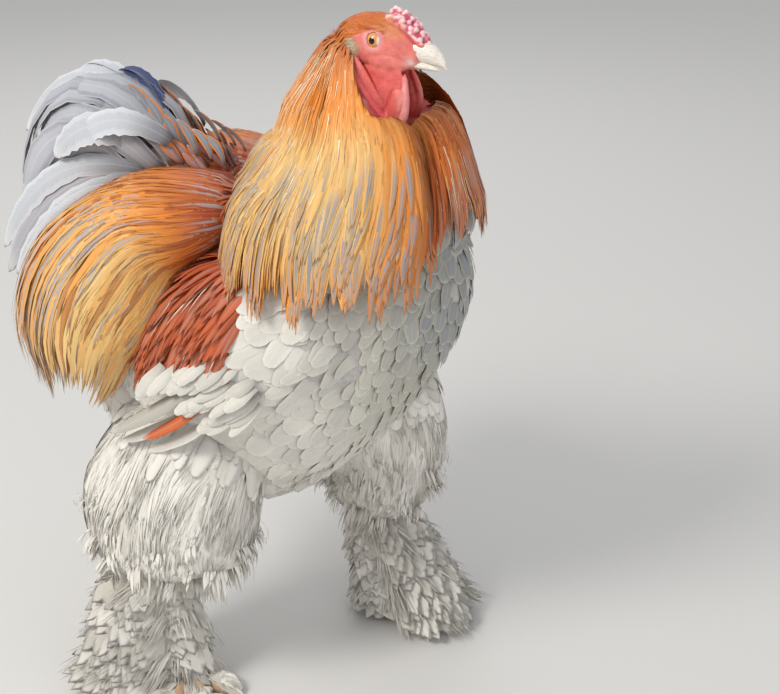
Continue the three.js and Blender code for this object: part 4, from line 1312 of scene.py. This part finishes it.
def plantFan(coat):
    rng, blank = coat.rng, featherBlank(10, 8, 1.35)
    for count, first, last, root, tip, half in tailLook["tiers"]:
        angle = np.radians(np.linspace(first, last, count) + rng.normal(0, 6, count))
        roots = root + rng.uniform(-0.02, 0.03, count)
        tips = tip + rng.uniform(-0.14, 0.03, count)
        drift, lift = rng.normal(0, 0.16, count), rng.uniform(-16, -6, count)
        spines = laidSpines(blank, forms["tail"], roots, tips, angle, drift, 12, lift, 1.0)
        lilac = ease(0.2, 0.6, spines["along"]) * rng.uniform(0, 0.8, (count, 1))
        # the fan behind the sickles is painted darker, as the shade between and behind them
        colour = layTones(shades, "tailShade", ("lilac", lilac))
        coat.plant(spines, half * rng.uniform(0.8, 1.1, count), "round", colour, roundHome(angle, roots),
                   heartOf("cool", 0.4 * np.ones(count)), fray=0.08, **tailLook["vane"])


def plantSickles(coat):
    rng, blank = coat.rng, featherBlank(18, 8, 1.3)
    for side in sides.values():
        for root, bend, tip, half, name in tailLook["sickles"]:
            deep, strength = ("navy", 0.1) if name == "navy" else ("slate", 0.3)
            start, middle, end = mirrored(side, root, bend, tip)
            middle = middle + rng.normal(0, 3, 3)
            away = unit((start + middle + end) / 3 - np.array([[-170, 0, 500]]))
            spines = arcSpines(blank, start, middle, end, unit(away + np.array([[0, side * 0.8, 0.25]])))
            colour = layTones(shades, deep, (name, ease(0.0, 0.4, blank["q"])[None]))
            coat.plant(spines, [half * rng.uniform(0.92, 1.06)], "round", colour, bodyHome(start),
                       heartOf("tailShade", [strength]), fray=0.12, **tailLook["vane"])


def plantCoverts(coat):  # between saddle and tail, standing up in rows: grey, laced with orange
    rng, blank, count = coat.rng, featherBlank(9, 6), tailLook["coverts"]
    for side in sides.values():
        share = np.sort(rng.random(count) ** 0.7)
        start = np.column_stack([-34 - 76 * share, side * rng.uniform(0, 30, count), 532 + 26 * share])
        start[:, 2] -= 0.1 * np.abs(start[:, 1])
        size = 20 + 26 * share * rng.uniform(0.8, 1.15, count)
        lean = rng.uniform(0.5, 0.95, count)
        end = start + np.column_stack([-size * lean, side * 8 * lean, size * (1.35 - 0.8 * lean)])
        middle, out = (start + end) / 2 + [-3, side * 4, 6], np.tile([0.35, side * 1.3, 0.5], (count, 1))
        red = rng.random(count)
        colour = layTones(shades, "orange", ("rust", red), ("saddleTop", 0.8 * ease(0.4, 0.1, share)))
        blue = layTones(shades, "slate", ("navy", rng.uniform(0, 0.7, count)))
        heart = heartOf(blue, rng.uniform(0.6, 1, count))
        half = rng.uniform(5.5, 8, count) * (0.6 + 0.6 * share)
        coat.plant(arcSpines(blank, start, middle, end, out), half, "lens", colour, bodyHome(start), heart,
                   **tailLook["covertVane"])
        for root, tip, half in tailLook["laced"]:
            start, end, out = *mirrored(side, root, tip), np.array([[0.5, side, 0.35]])
            spines = arcSpines(blank, start, (start + end) / 2 + [6, 0, 8], end, out)
            coat.plant(spines, [half], "lens", shades["orange"][None], bodyHome(start), heartOf("slate", [1]),
                       **tailLook["lacedVane"])


def buildTail():
    coat = Coat("coat_tail", np.random.default_rng(tailLook["seed"]))
    plantFan(coat)
    plantSickles(coat)
    coat.rng = np.random.default_rng(tailLook["seed"] + 3)
    plantCoverts(coat)
    coat.build(greyStuff, "plumage")


# Breast, flanks and wings, laid over the skin
def bodyFlow(points):  # feathers lie down over the breast and to the rear along the flanks
    x, y, z = points.T
    front, low = ease(70, 190, x), ease(300, 220, z)
    back, down = 0.95 - 0.6 * front + 0.3 * low, (0.6 + 0.55 * front) * (1 - 0.5 * low)
    return unit(np.stack([-back, 0.12 * np.sign(y), -down], -1))


def bowFlow(points):
    x, y, z = points.T
    return unit(np.stack([-0.5 - 0.0012 * (z - 400), 0.3 * np.sign(y), -1 + 0 * x], -1))


def underHackle(points, short):  # places that the hackle covers, down to so far short of its hem
    steps = np.linspace(0, 1, 60)
    line = forms["hackle"].rowAt(steps)
    along = steps[np.abs(points[:, None, 2] - line[None, :, 2]).argmin(1)]
    row = forms["hackle"].rowAt(along)
    ahead = (points[:, 0] - row[:, 0]) / row[:, 4]
    own = np.hypot(ahead, (points[:, 1] - row[:, 1]) / row[:, 3])
    return (own < 1.02) & (along < hackleHem(np.arctan2(ahead, points[:, 1] / row[:, 3])) - short)


def inBow(points, grow=0.0):  # the red patch on the wing
    x, y, z = points.T
    ahead = x - (18 + 0.32 * (z - 386))
    return (z > 404 - grow) & (z < 556) & (ahead < grow) & (x > -72) & (np.abs(y) > 26)


breast = {
    "spacing": 10.0, "half": 15, "length": 52, "sunk": 5, "swerve": 0.24, "seed": 15,
    "vane": {"thick": 0.35, "camber": 0.05, "ragged": 0.07, "fray": 0.06},
}


def buildBreast(ground):
    rng = np.random.default_rng(breast["seed"])
    coat, blank = Coat("coat_breast", rng), featherBlank(9, 8, 1.7)
    roots = ground.scatter(
        breast["spacing"], breast["seed"], lambda p: (p[:, 2] > 205) & (p[:, 2] < 530) & (p[:, 0] > -132)
    )
    roots = roots[~underHackle(roots, 0.14) & ~inBow(roots)]
    (x, _, z), count = roots.T, len(roots)
    big = ease(150, 30, x)
    length = breast["length"] * (0.62 + 0.5 * big) * rng.uniform(0.8, 1.15, count)
    swerve, lift = rng.normal(0, breast["swerve"], count), 2 + 3.5 * rng.random(count)
    spines = ground.spines(blank, roots, bodyFlow, length, breast["sunk"], lift, swerve)
    half = breast["half"] * (0.56 + 0.56 * big) * rng.uniform(0.7, 1.2, count)
    # painted shade: towards the front the breast turns olive and darker, as the shaded front of the breast
    colour = layTones(
        shades, "white",
        ("grey", rng.uniform(0, 0.7, count)),
        ("olive", ease(95, 190, x) * 0.7),
        ("shade", ease(150, 205, x) * 0.5),
        ("tan", ease(330, 230, z) * 0.14),
    )
    cool = ease(140, 190, x) * ease(360, 440, z)
    strength = (0.2 + 0.3 * ease(90, 190, x) + 0.15 * cool) * rng.uniform(0.5, 1.2, count)
    heart = heartOf(layTones(shades, "midGrey", ("coolShade", cool)), strength)
    coat.plant(spines, half, "round", colour, bodyHome(roots), heart, **breast["vane"])
    coat.build(greyStuff, "plumage")


wingLook = {
    "flights": [  # root, tip, half width, tone and how strongly its middle is grey, from the topmost down
        ((4, 150, 384), (-98, 154, 313), 9.5, "midGrey", 0.5),
        ((10, 150, 366), (-64, 151, 312), 7, "deepOrange", 0.1),
        ((12, 146, 362), (-92, 147, 302), 8.5, "grey", 0.5),
        ((20, 143, 350), (-66, 143, 294), 8, "white", 0.5),
    ],
    "flightVane": {"thick": 0.4, "camber": 0.1, "ragged": 0.02, "fray": 0.02},
    "half": 8.5, "abreast": 4, "rowVane": {"thick": 0.15, "fray": 0.06},
    "rows": [  # first root, step from one to the next, reach of each, how many
        ((30, 143, 402), (-13, 1.2, -3), (-24, 12, -24), 6),
        ((46, 143, 386), (-12, 1.2, -4), (-27, 13, -22), 4),
        ((54, 139, 368), (-12, 1.4, -5), (-30, 12, -22), 3),
    ],
    "bowSpacing": 5.9, "bowHalf": 4.8, "paleHalf": 0.9, "bowLength": 66, "bowVane": {"camber": 0.1},
    "seed": 14,
}


def plantFlights(coat, side):  # the long feathers stick out under the coverts
    blank = featherBlank(14, 6, 1.3)
    for root, tip, half, name, strength in wingLook["flights"]:
        start, end = mirrored(side, root, tip)
        middle = (start + end) / 2 + [0, side * 5, -7]
        spines = arcSpines(blank, start, middle, end, np.array([[-0.35, side, 0.55]]))
        coat.plant(spines, [half], "flight", shades[name][None], bodyHome(start),
                   heartOf("midGrey", [strength]), **wingLook["flightVane"])


def buildWings():
    rng = np.random.default_rng(wingLook["seed"])
    coat, blank = Coat("coat_wings", rng), featherBlank(10, 6, 1.4)
    for side in sides.values():
        plantFlights(coat, side)
        flip, strewn = np.array([1, side, 1]), [1, 0.3, 1]
        for first, step, reach, columns in wingLook["rows"]:
            nth = np.repeat(np.arange(columns), wingLook["abreast"])[:, None]
            count = len(nth)
            nth = nth + rng.uniform(-0.5, 0.5, (count, 1))
            start = np.array(first) + np.array(step) * nth + rng.normal(0, 2.5, (count, 3)) * strewn
            end = start + np.array(reach) * rng.uniform(0.8, 1.2, (count, 1))
            end = end + rng.normal(0, 2.5, (count, 3)) * strewn
            middle = (start + end) / 2 + [0, 3, 0]
            out = np.array([[-0.1, 1, 0.25]]) + rng.normal(0, 0.05, (count, 3))
            spines = arcSpines(blank, start * flip, middle * flip, end * flip, out * flip)
            colour = layTones(shades, "white", ("grey", rng.uniform(0.1, 0.9, count)))
            half = wingLook["half"] * rng.uniform(0.75, 1.1, count)
            coat.plant(spines, half, "round", colour, bodyHome(start * flip),
                       heartOf("midGrey", 0.3 * np.ones(count)), **wingLook["rowVane"])
    coat.build(greyStuff, "wing")


def buildBow(ground):
    rng = np.random.default_rng(wingLook["seed"] + 1)
    coat, blank = Coat("coat_wing_bow", rng), featherBlank(8, 4)
    roots = ground.scatter(wingLook["bowSpacing"], wingLook["seed"], lambda p: inBow(p, 4))
    roots = roots[~underHackle(roots, 0.3)]
    count = len(roots)
    length = wingLook["bowLength"] * rng.uniform(0.8, 1.15, count) * (0.7 + 0.3 * ease(400, 440, roots[:, 2]))
    lift, swerve = 9 + 3 * rng.random(count), rng.normal(0, 0.08, count)
    spines = ground.spines(blank, roots, bowFlow, length, 3, lift, swerve)
    # a few thin cream strands are painted highlights glinting on the red bow
    light, dark, pale = 0.7 * rng.random(count), 0.5 * rng.random(count), rng.random(count) < 0.05
    colour = layTones(shades, "bow", ("bowLight", light), ("rustShade", dark), ("cream", 0.75 * pale))
    heart = heartOf("mauve", rng.uniform(0, 0.35, count))
    half = np.where(pale, wingLook["paleHalf"], wingLook["bowHalf"]) * rng.uniform(0.8, 1.2, count)
    coat.plant(spines, half, "lance", colour, bodyHome(roots), heart, **wingLook["bowVane"])
    coat.build(goldStuff, "wing")


# Down of the thighs
thighLook = {
    "layers": [  # how many, stations, corners, where they root, length, lift, half width, outline
        (240, 6, 6, (-0.1, 0.8), (0.24, 0.3), (-2.5, 0), (15, 19), "round"),
        (3300, 5, 4, (-0.06, 0.86), (0.24, 0.4), (-0.3, 0.9), (1.3, 2.4), "strand"),
        (170, 8, 6, (-0.2, 0.08), (0.18, 0.28), (1.5, 5), (8, 12.5), "round"),
    ],
    "tufts": 90, "pull": 0.6, "hanging": 110, "each": 13, "hangingHalf": (1.2, 2.3), "seed": 18,
    "vane": {"thick": 0.08, "camber": 0.05},
}


def tuftPull(rng, angle, along):  # the ends of the down lean together in tufts
    count = thighLook["tufts"]
    middles = np.column_stack([rng.uniform(0, 2 * math.pi, count), rng.uniform(0.05, 1.05, count)])
    turn = (middles[None, :, 0] - angle[:, None] + math.pi) % (2 * math.pi) - math.pi
    step = middles[None, :, 1] - along[:, None]
    mine = ((60 * turn) ** 2 + (200 * step) ** 2).argmin(1)
    pick = np.arange(len(angle)), mine
    return thighLook["pull"] * turn[pick], thighLook["pull"] * step[pick], mine


def plantHanging(coat, form):  # tufts that hang clear of the thigh
    rng, count, each = coat.rng, thighLook["hanging"], thighLook["each"]
    angle, along = rng.uniform(0, 2 * math.pi, count), rng.uniform(0.3, 1.02, count) ** 0.6
    out, start = form.outward(along, angle), form.surface(along, angle)
    fall = rng.uniform(16, 26, (count, 1))
    end = start + out * rng.uniform(2, 6, (count, 1)) - up * fall + rng.normal(0, 4, (count, 3))
    rows = (start, end, out, roundHome(angle, along))
    start, end, out, home = (np.repeat(row, each, axis=0) for row in rows)
    light = np.repeat(rng.uniform(0, 0.7, count), each)
    apart = rng.normal(0, 1, (count * each, 3))
    end = end + 3 * apart + unit(end - start) * rng.uniform(-10, 2, (count * each, 1))
    middle = start + 0.45 * (end - start) + out * 4 + 2.5 * apart
    out = out + 0.7 * up
    start = start - out * 3 + 3 * apart
    spines = arcSpines(featherBlank(5, 4, 1.3), start, insideBox(middle), insideBox(end), out)
    half = rng.uniform(*thighLook["hangingHalf"], count * each)
    coat.plant(spines, half, "strand", downTone(light), home, **thighLook["vane"])


def buildThighs():
    for word, side in sides.items():
        rng = np.random.default_rng(thighLook["seed"] + side)
        coat, form = Coat("coat_thigh_" + word, rng), forms["thigh " + word]
        for count, stations, corners, begin, length, lift, half, outline in thighLook["layers"]:
            angle, root = rng.uniform(0, 2 * math.pi, count), rng.uniform(*begin, count)
            tip = np.minimum(root + rng.uniform(*length, count), rng.uniform(0.9, 1.05, count))
            drift, further, tuft = tuftPull(rng, angle, tip)
            drift = drift + 0.12 * np.sin(3 * angle + 8 * root) + rng.normal(0, 0.05, count)
            strand = outline == "strand"
            rise = rng.uniform(*lift, count) + strand * (2.2 * np.sin(tuft * 2.4) ** 2 - 0.6)
            blank, tip = featherBlank(stations, corners, 1.3), tip + 0.4 * strand * further
            spines = laidSpines(blank, form, root, tip, angle, drift, 5, rise, 0.4)
            shadow = np.clip(0.3 + 0.3 * np.sin(tuft * 1.7) + rng.uniform(-0.25, 0.25, count), 0, 1)
            coat.plant(spines, rng.uniform(*half, count), outline, downTone(shadow), roundHome(angle, root),
                       **thighLook["vane"])
        plantHanging(coat, form)
        coat.build(downStuff, "plumage")


# Feathers of shank and toes
legLook = {
    "fan": {"right": 196, "left": 16}, "reach": {"right": (70, 112), "left": (60, 96)}, "seed": 20,
    "plumes": [  # how many, spread in degrees, reach if it isn't the leg's own, how steep, half width
        (380, 66, None, 0.3, 13), (420, 180, (18, 36), 1.5, 11),
    ],
    "plumeVane": {"thick": 0.2, "camber": 0.03, "ragged": 0.1, "fray": 0.2},
    "tufts": [  # how many, strands in each, spread, reach, how steep, how loose
        (100, 22, 72, None, 0.3, 6.5), (80, 14, 180, (18, 38), 1.4, 5),
    ],
    "tuftHalf": (1.2, 2.3), "tuftVane": {"thick": 0.14, "camber": 0.0},
}


def aboveFloor(spines, least):
    spines["at"][..., 2] = np.maximum(spines["at"][..., 2], least)
    return spines


def levelWay(turn):
    return np.column_stack([np.cos(turn), np.sin(turn), np.zeros(len(turn))])


def legArcs(word, rng, count, spread, reach, steep):
    top, low = np.array(bird["hock"][word], float), np.array(bird["ankle"][word], float)
    fan = math.radians(legLook["fan"][word])
    share = rng.uniform(0.0, 1.0, count)
    turn = fan + np.radians(rng.uniform(-spread, spread, count))
    away = levelWay(turn)
    start = top + (low - top) * share[:, None] + away * 10
    length = rng.uniform(*(reach or legLook["reach"][word]), count)
    length = length * (0.66 + 0.45 * share) * (0.6 + 0.4 * np.cos(turn - fan) ** 2)
    drop = length * steep * rng.uniform(0.85, 1.15, count)
    end = start + away * length[:, None] - up * drop[:, None]
    end[:, 2] = np.maximum(end[:, 2], rng.uniform(4, 14, count))
    middle = start + away * (0.5 * length)[:, None] + up * (length * 0.1 - drop * 0.2)[:, None]
    out = away
    if spread < 100:  # the plumes of the fan stand on edge and face the nearer flank
        out = np.cross(up, away) * np.where(turn > fan, 1, -1)[:, None] + 0.3 * away
    out = out + 0.5 * up + rng.normal(0, 0.12, (count, 3))
    return start, insideBox(middle), insideBox(end), out, roundHome(turn, share)


def buildLegs():
    for word, side in sides.items():
        rng = np.random.default_rng(legLook["seed"] + side)
        coat, blank = Coat("coat_leg_" + word, rng), featherBlank(9, 4, 1.2)
        for count, spread, reach, steep, half in legLook["plumes"]:
            *arc, home = legArcs(word, rng, count, spread, reach, steep)
            colour = downTone(rng.uniform(0, 0.8, count))
            half = half * rng.uniform(0.7, 1.2, count)
            coat.plant(arcSpines(blank, *arc), half, "round", colour, home, **legLook["plumeVane"])
        blank = featherBlank(5, 4, 1.2)
        for count, each, spread, reach, steep, loose in legLook["tufts"]:
            rows = legArcs(word, rng, count, spread, reach, steep)
            start, middle, end, out, home = (np.repeat(row, each, axis=0) for row in rows)
            apart = rng.normal(0, 1, (count * each, 3)) * [1, 1, 0.5]
            end = end + loose * apart + unit(end - start) * rng.uniform(-10, 5, (count * each, 1))
            middle = insideBox(middle + 0.7 * loose * apart)
            spines = aboveFloor(arcSpines(blank, start + 1.5 * apart, middle, insideBox(end), out), 2.5)
            light = np.repeat(rng.uniform(0, 0.6, count), each) + rng.uniform(0, 0.3, count * each)
            half = rng.uniform(*legLook["tuftHalf"], count * each)
            coat.plant(spines, half, "strand", downTone(light), home, **legLook["tuftVane"])
        coat.build(downStuff, "foot")


footLook = {
    "kinds": [  # how many, stations, corners, half width, outline
        (44, 7, 8, 8.5, "round"), (480, 5, 3, 0.8, "wisp"),
    ],
    "toes": [("middle", 22, 0.9), ("outer", 60, 1.2), ("inner", -10, 0.6)],  # lean, share of the reach
    "reach": (24, 44), "vane": {"ragged": 0.14}, "seed": 24,
}


def buildFeet():
    for word, side in sides.items():
        rng = np.random.default_rng(footLook["seed"] + side)
        coat = Coat("coat_foot_" + word, rng)
        x, y, _ = bird["ankle"][word]
        for count, stations, corners, half, outline in footLook["kinds"]:
            blank = featherBlank(stations, corners, 1.3)
            for toe, lean, share in footLook["toes"]:
                turn, length = toes[toe]
                way = math.radians(bird["footTurn"][word] - side * turn)
                along = rng.uniform(-0.15, 0.85, count) * length
                away = levelWay(way + side * np.radians(lean + rng.normal(0, 14, count)))
                level = rng.uniform(8, 15, count)
                start = np.column_stack([x + along * math.cos(way), y + along * math.sin(way), level])
                reach = rng.uniform(*footLook["reach"], count) * share
                end = start + away * reach[:, None]
                end[:, 2] = rng.uniform(3.5, 9, count)
                middle = start + away * (0.5 * reach)[:, None] + up * rng.uniform(6, 14, count)[:, None]
                out = up + rng.normal(0, 0.15, (count, 3))
                spines = aboveFloor(arcSpines(blank, start, insideBox(middle), insideBox(end), out), 3.0)
                colour = downTone(rng.uniform(0, 0.8, count))
                home = 0.5 + (start[:, :2] - [x, y]) / 260
                wide = half * rng.uniform(0.8, 1.2, count)
                coat.plant(spines, wide, outline, colour, home, **footLook["vane"])
        coat.build(downStuff, "foot")


# Small feathers of the head
headCoat = {
    "spacing": 1.35, "half": 1.35, "length": 7.5, "vane": {"thick": 0.15, "ragged": 0.04},
    "napeSpacing": 2.2, "napeHalf": (1.6, 2.4), "napeLength": (26, 38),
    "napeVane": {"thick": 0.2, "ragged": 0.04}, "earVane": {"thick": 0.25, "camber": 0.0},
    "earSpacing": 1.1, "earHalf": (0.35, 0.6), "earAt": (-20, -8), "ear": 8.5, "seed": 30,
}


def headFlow(points):
    x, y, _ = fromHead(points).T
    way = np.stack([-np.ones(len(x)), 0.1 * np.sign(y), -0.25 - 0.9 * ease(-12, -34, x)], -1)
    return unit(way @ headTurn.T)


def headHome(own):
    x, y, z = own.T
    return np.column_stack([0.5 + np.arctan2(y, z + 30) / (2 * math.pi), 0.5 + x / 160])


def onCrown(points):  # above the bare face and behind the comb
    x, y, z = fromHead(points).T
    feathered = z > 5.5 + 0.34 * np.clip(x, 0, 40) - 0.4 * np.clip(-x - 8, 0, 40)
    offEye = np.hypot(x - 2, z) > 10.6
    near = (np.hypot(np.hypot(x, y), z) < 62) & (z > -48) & (x > -60)
    return near & feathered & offEye & (x < np.where(z > 19, 4, 12))


def onNape(points):
    return onCrown(points) & (fromHead(points)[:, 0] < -14)


def onEar(points):
    own = fromHead(points)
    x, z = headCoat["earAt"]
    return np.hypot(own[:, 0] - x, own[:, 2] - z) < headCoat["ear"]


def buildHeadCoat(ground):
    rng = np.random.default_rng(headCoat["seed"])
    coat, blank = Coat("coat_head", rng), featherBlank(5, 4, 1.3)
    roots = ground.scatter(headCoat["spacing"], headCoat["seed"], onCrown)
    own, count = fromHead(roots), len(roots)
    small = ease(10, -30, own[:, 0])
    length = headCoat["length"] * (0.55 + 1.1 * small) * rng.uniform(0.85, 1.2, count)
    spines = ground.spines(blank, roots, headFlow, length, 0.5, 0.35 + 0.5 * rng.random(count))
    colour = layTones(shades, "rust", ("deepOrange", rng.uniform(0, 0.6, count)),
                      (fleshTones["faceWarm"], 0.7 * ease(0, 12, own[:, 0])))
    half = headCoat["half"] * (0.6 + 0.8 * small) * rng.uniform(0.8, 1.2, count)
    heart = heartOf("orange", 0.3 * np.ones(count))
    coat.plant(spines, half, "lance", colour, headHome(own), heart, **headCoat["vane"])
    # longer ones from the back of the head down the nape
    roots = ground.scatter(headCoat["napeSpacing"], headCoat["seed"] + 2, onNape)
    own, count = fromHead(roots), len(roots)
    length = rng.uniform(*headCoat["napeLength"], count)
    lift = rng.uniform(9, 13, count) * ease(-14, -30, own[:, 0])
    spines = ground.spines(featherBlank(6, 4, 1.3), roots, headFlow, length, 0.5, 1 + lift)
    colour = layTones(shades, "rust", ("orange", rng.uniform(0.1, 0.6, count)))
    half = rng.uniform(*headCoat["napeHalf"], count)
    coat.plant(spines, half, "strand", colour, headHome(own), **headCoat["napeVane"])
    # tan bristles over the ears
    roots = ground.scatter(headCoat["earSpacing"], headCoat["seed"] + 1, onEar)
    roots = roots[np.abs(fromHead(roots)[:, 1]) > 12]
    count = len(roots)
    length = headCoat["length"] * rng.uniform(0.8, 1.3, count)
    spines = ground.spines(blank, roots, headFlow, length, 0.5, 0.6 + 1.2 * rng.random(count))
    colour = layTones(shades, "tan", ("cream", rng.uniform(0, 0.4, count)))
    half = rng.uniform(*headCoat["earHalf"], count)
    coat.plant(spines, half, "wisp", colour, headHome(fromHead(roots)), **headCoat["earVane"])
    coat.build(goldStuff, "hackle")


# Soft feathers and down behind and under the body
rumpLook = {
    "kinds": [  # spacing, stations, corners, length, half width, outline
        (12, 6, 8, (34, 46), (12, 16), "round"), (4.6, 4, 3, (24, 40), (0.7, 1.2), "wisp"),
    ],
    "sunk": 4, "lift": (5, 11), "vane": {"ragged": 0.12}, "seed": 33,
}


def onRump(points):
    x, y, z = points.T
    rear = (x < -96) & (z > 150) & (z < 480)
    belly = (z < 268) & (z > 178) & (x < 150) & (np.abs(y) < 70)
    return rear | belly


def rumpFlow(points):
    ones = np.ones(len(points))
    return unit(np.stack([-0.45 * ones, 0.1 * np.sign(points[:, 1]), -ones], -1))


def buildRump(ground):
    rng = np.random.default_rng(rumpLook["seed"])
    coat = Coat("coat_rump", rng)
    for spacing, stations, corners, length, half, outline in rumpLook["kinds"]:
        roots = ground.scatter(spacing, rumpLook["seed"], onRump)
        count = len(roots)
        length, lift = rng.uniform(*length, count), rng.uniform(*rumpLook["lift"], count)
        blank = featherBlank(stations, corners, 1.3)
        spines = ground.spines(blank, roots, rumpFlow, length, rumpLook["sunk"], lift)
        colour = downTone(rng.uniform(0, 0.9, count))
        coat.plant(spines, rng.uniform(*half, count), outline, colour, bodyHome(roots), **rumpLook["vane"])
    coat.build(downStuff, "plumage")


ground = Ground(skin)
print("Ground ready")
buildHackle()
buildSaddle()
buildTail()
buildBreast(ground)
buildWings()
buildBow(ground)
buildThighs()
buildLegs()
buildFeet()
buildHeadCoat(ground)
buildRump(ground)


# Floor, light and camera
studio = {
    "floor": {"wide": 6, "tone": (0.74, 0.73, 0.71, 1), "rough": 0.85},
    "air": {"tone": (0.86, 0.87, 0.89, 1), "strength": 0.62},
    "lights": {
        "key": {"at": (-0.9, -1.9, 2.3), "size": 0.9, "watts": 50, "tone": (1.0, 0.965, 0.9)},
        "fill": {"at": (2.4, -1.6, 1.2), "size": 2.2, "watts": 9, "tone": (0.9, 0.95, 1.0)},
        "back": {"at": (-1.2, 2.0, 2.2), "size": 1.6, "watts": 14, "tone": (1.0, 1.0, 1.0)},
    },
    "aim": (0, 0, 0.35),
}
camera = {"at": (585.9, -1141.1, 925.4), "turn": 22, "tilt": 24.1, "lens": 64.6, "sensor": 36}


def buildStage():
    bm = bmesh.new()
    bmesh.ops.create_grid(bm, x_segments=1, y_segments=1, size=studio["floor"]["wide"])
    floor = addToScene("floor", meshOf("floor", bm))
    paint = Stuff("floor paint", Base_Color=studio["floor"]["tone"], Roughness=studio["floor"]["rough"])
    floor.data.materials.append(paint.stuff)


def buildLights():
    for name, light in studio["lights"].items():
        lamp = bpy.data.lights.new(name, "AREA")
        lamp.energy, lamp.size, lamp.color = light["watts"], light["size"], light["tone"]
        holder = addToScene(name, lamp)
        holder.location = light["at"]
        aim = Vector(studio["aim"]) - holder.location
        holder.rotation_euler = aim.to_track_quat("-Z", "Y").to_euler()
    world = bpy.data.worlds.new("studio")
    world.use_nodes = True
    air = world.node_tree.nodes["Background"].inputs
    air[0].default_value, air[1].default_value = studio["air"]["tone"], studio["air"]["strength"]
    bpy.context.scene.world = world
    bpy.context.scene.view_settings.view_transform = "Standard"


def buildCamera():
    lens = bpy.data.cameras.new("camera")
    lens.lens, lens.sensor_width = camera["lens"], camera["sensor"]
    holder = addToScene("camera", lens)
    holder.location = place(camera["at"])
    holder.rotation_euler = (math.radians(90 - camera["tilt"]), 0, math.radians(camera["turn"]))
    bpy.context.scene.camera = holder


buildStage()
buildLights()
buildCamera()
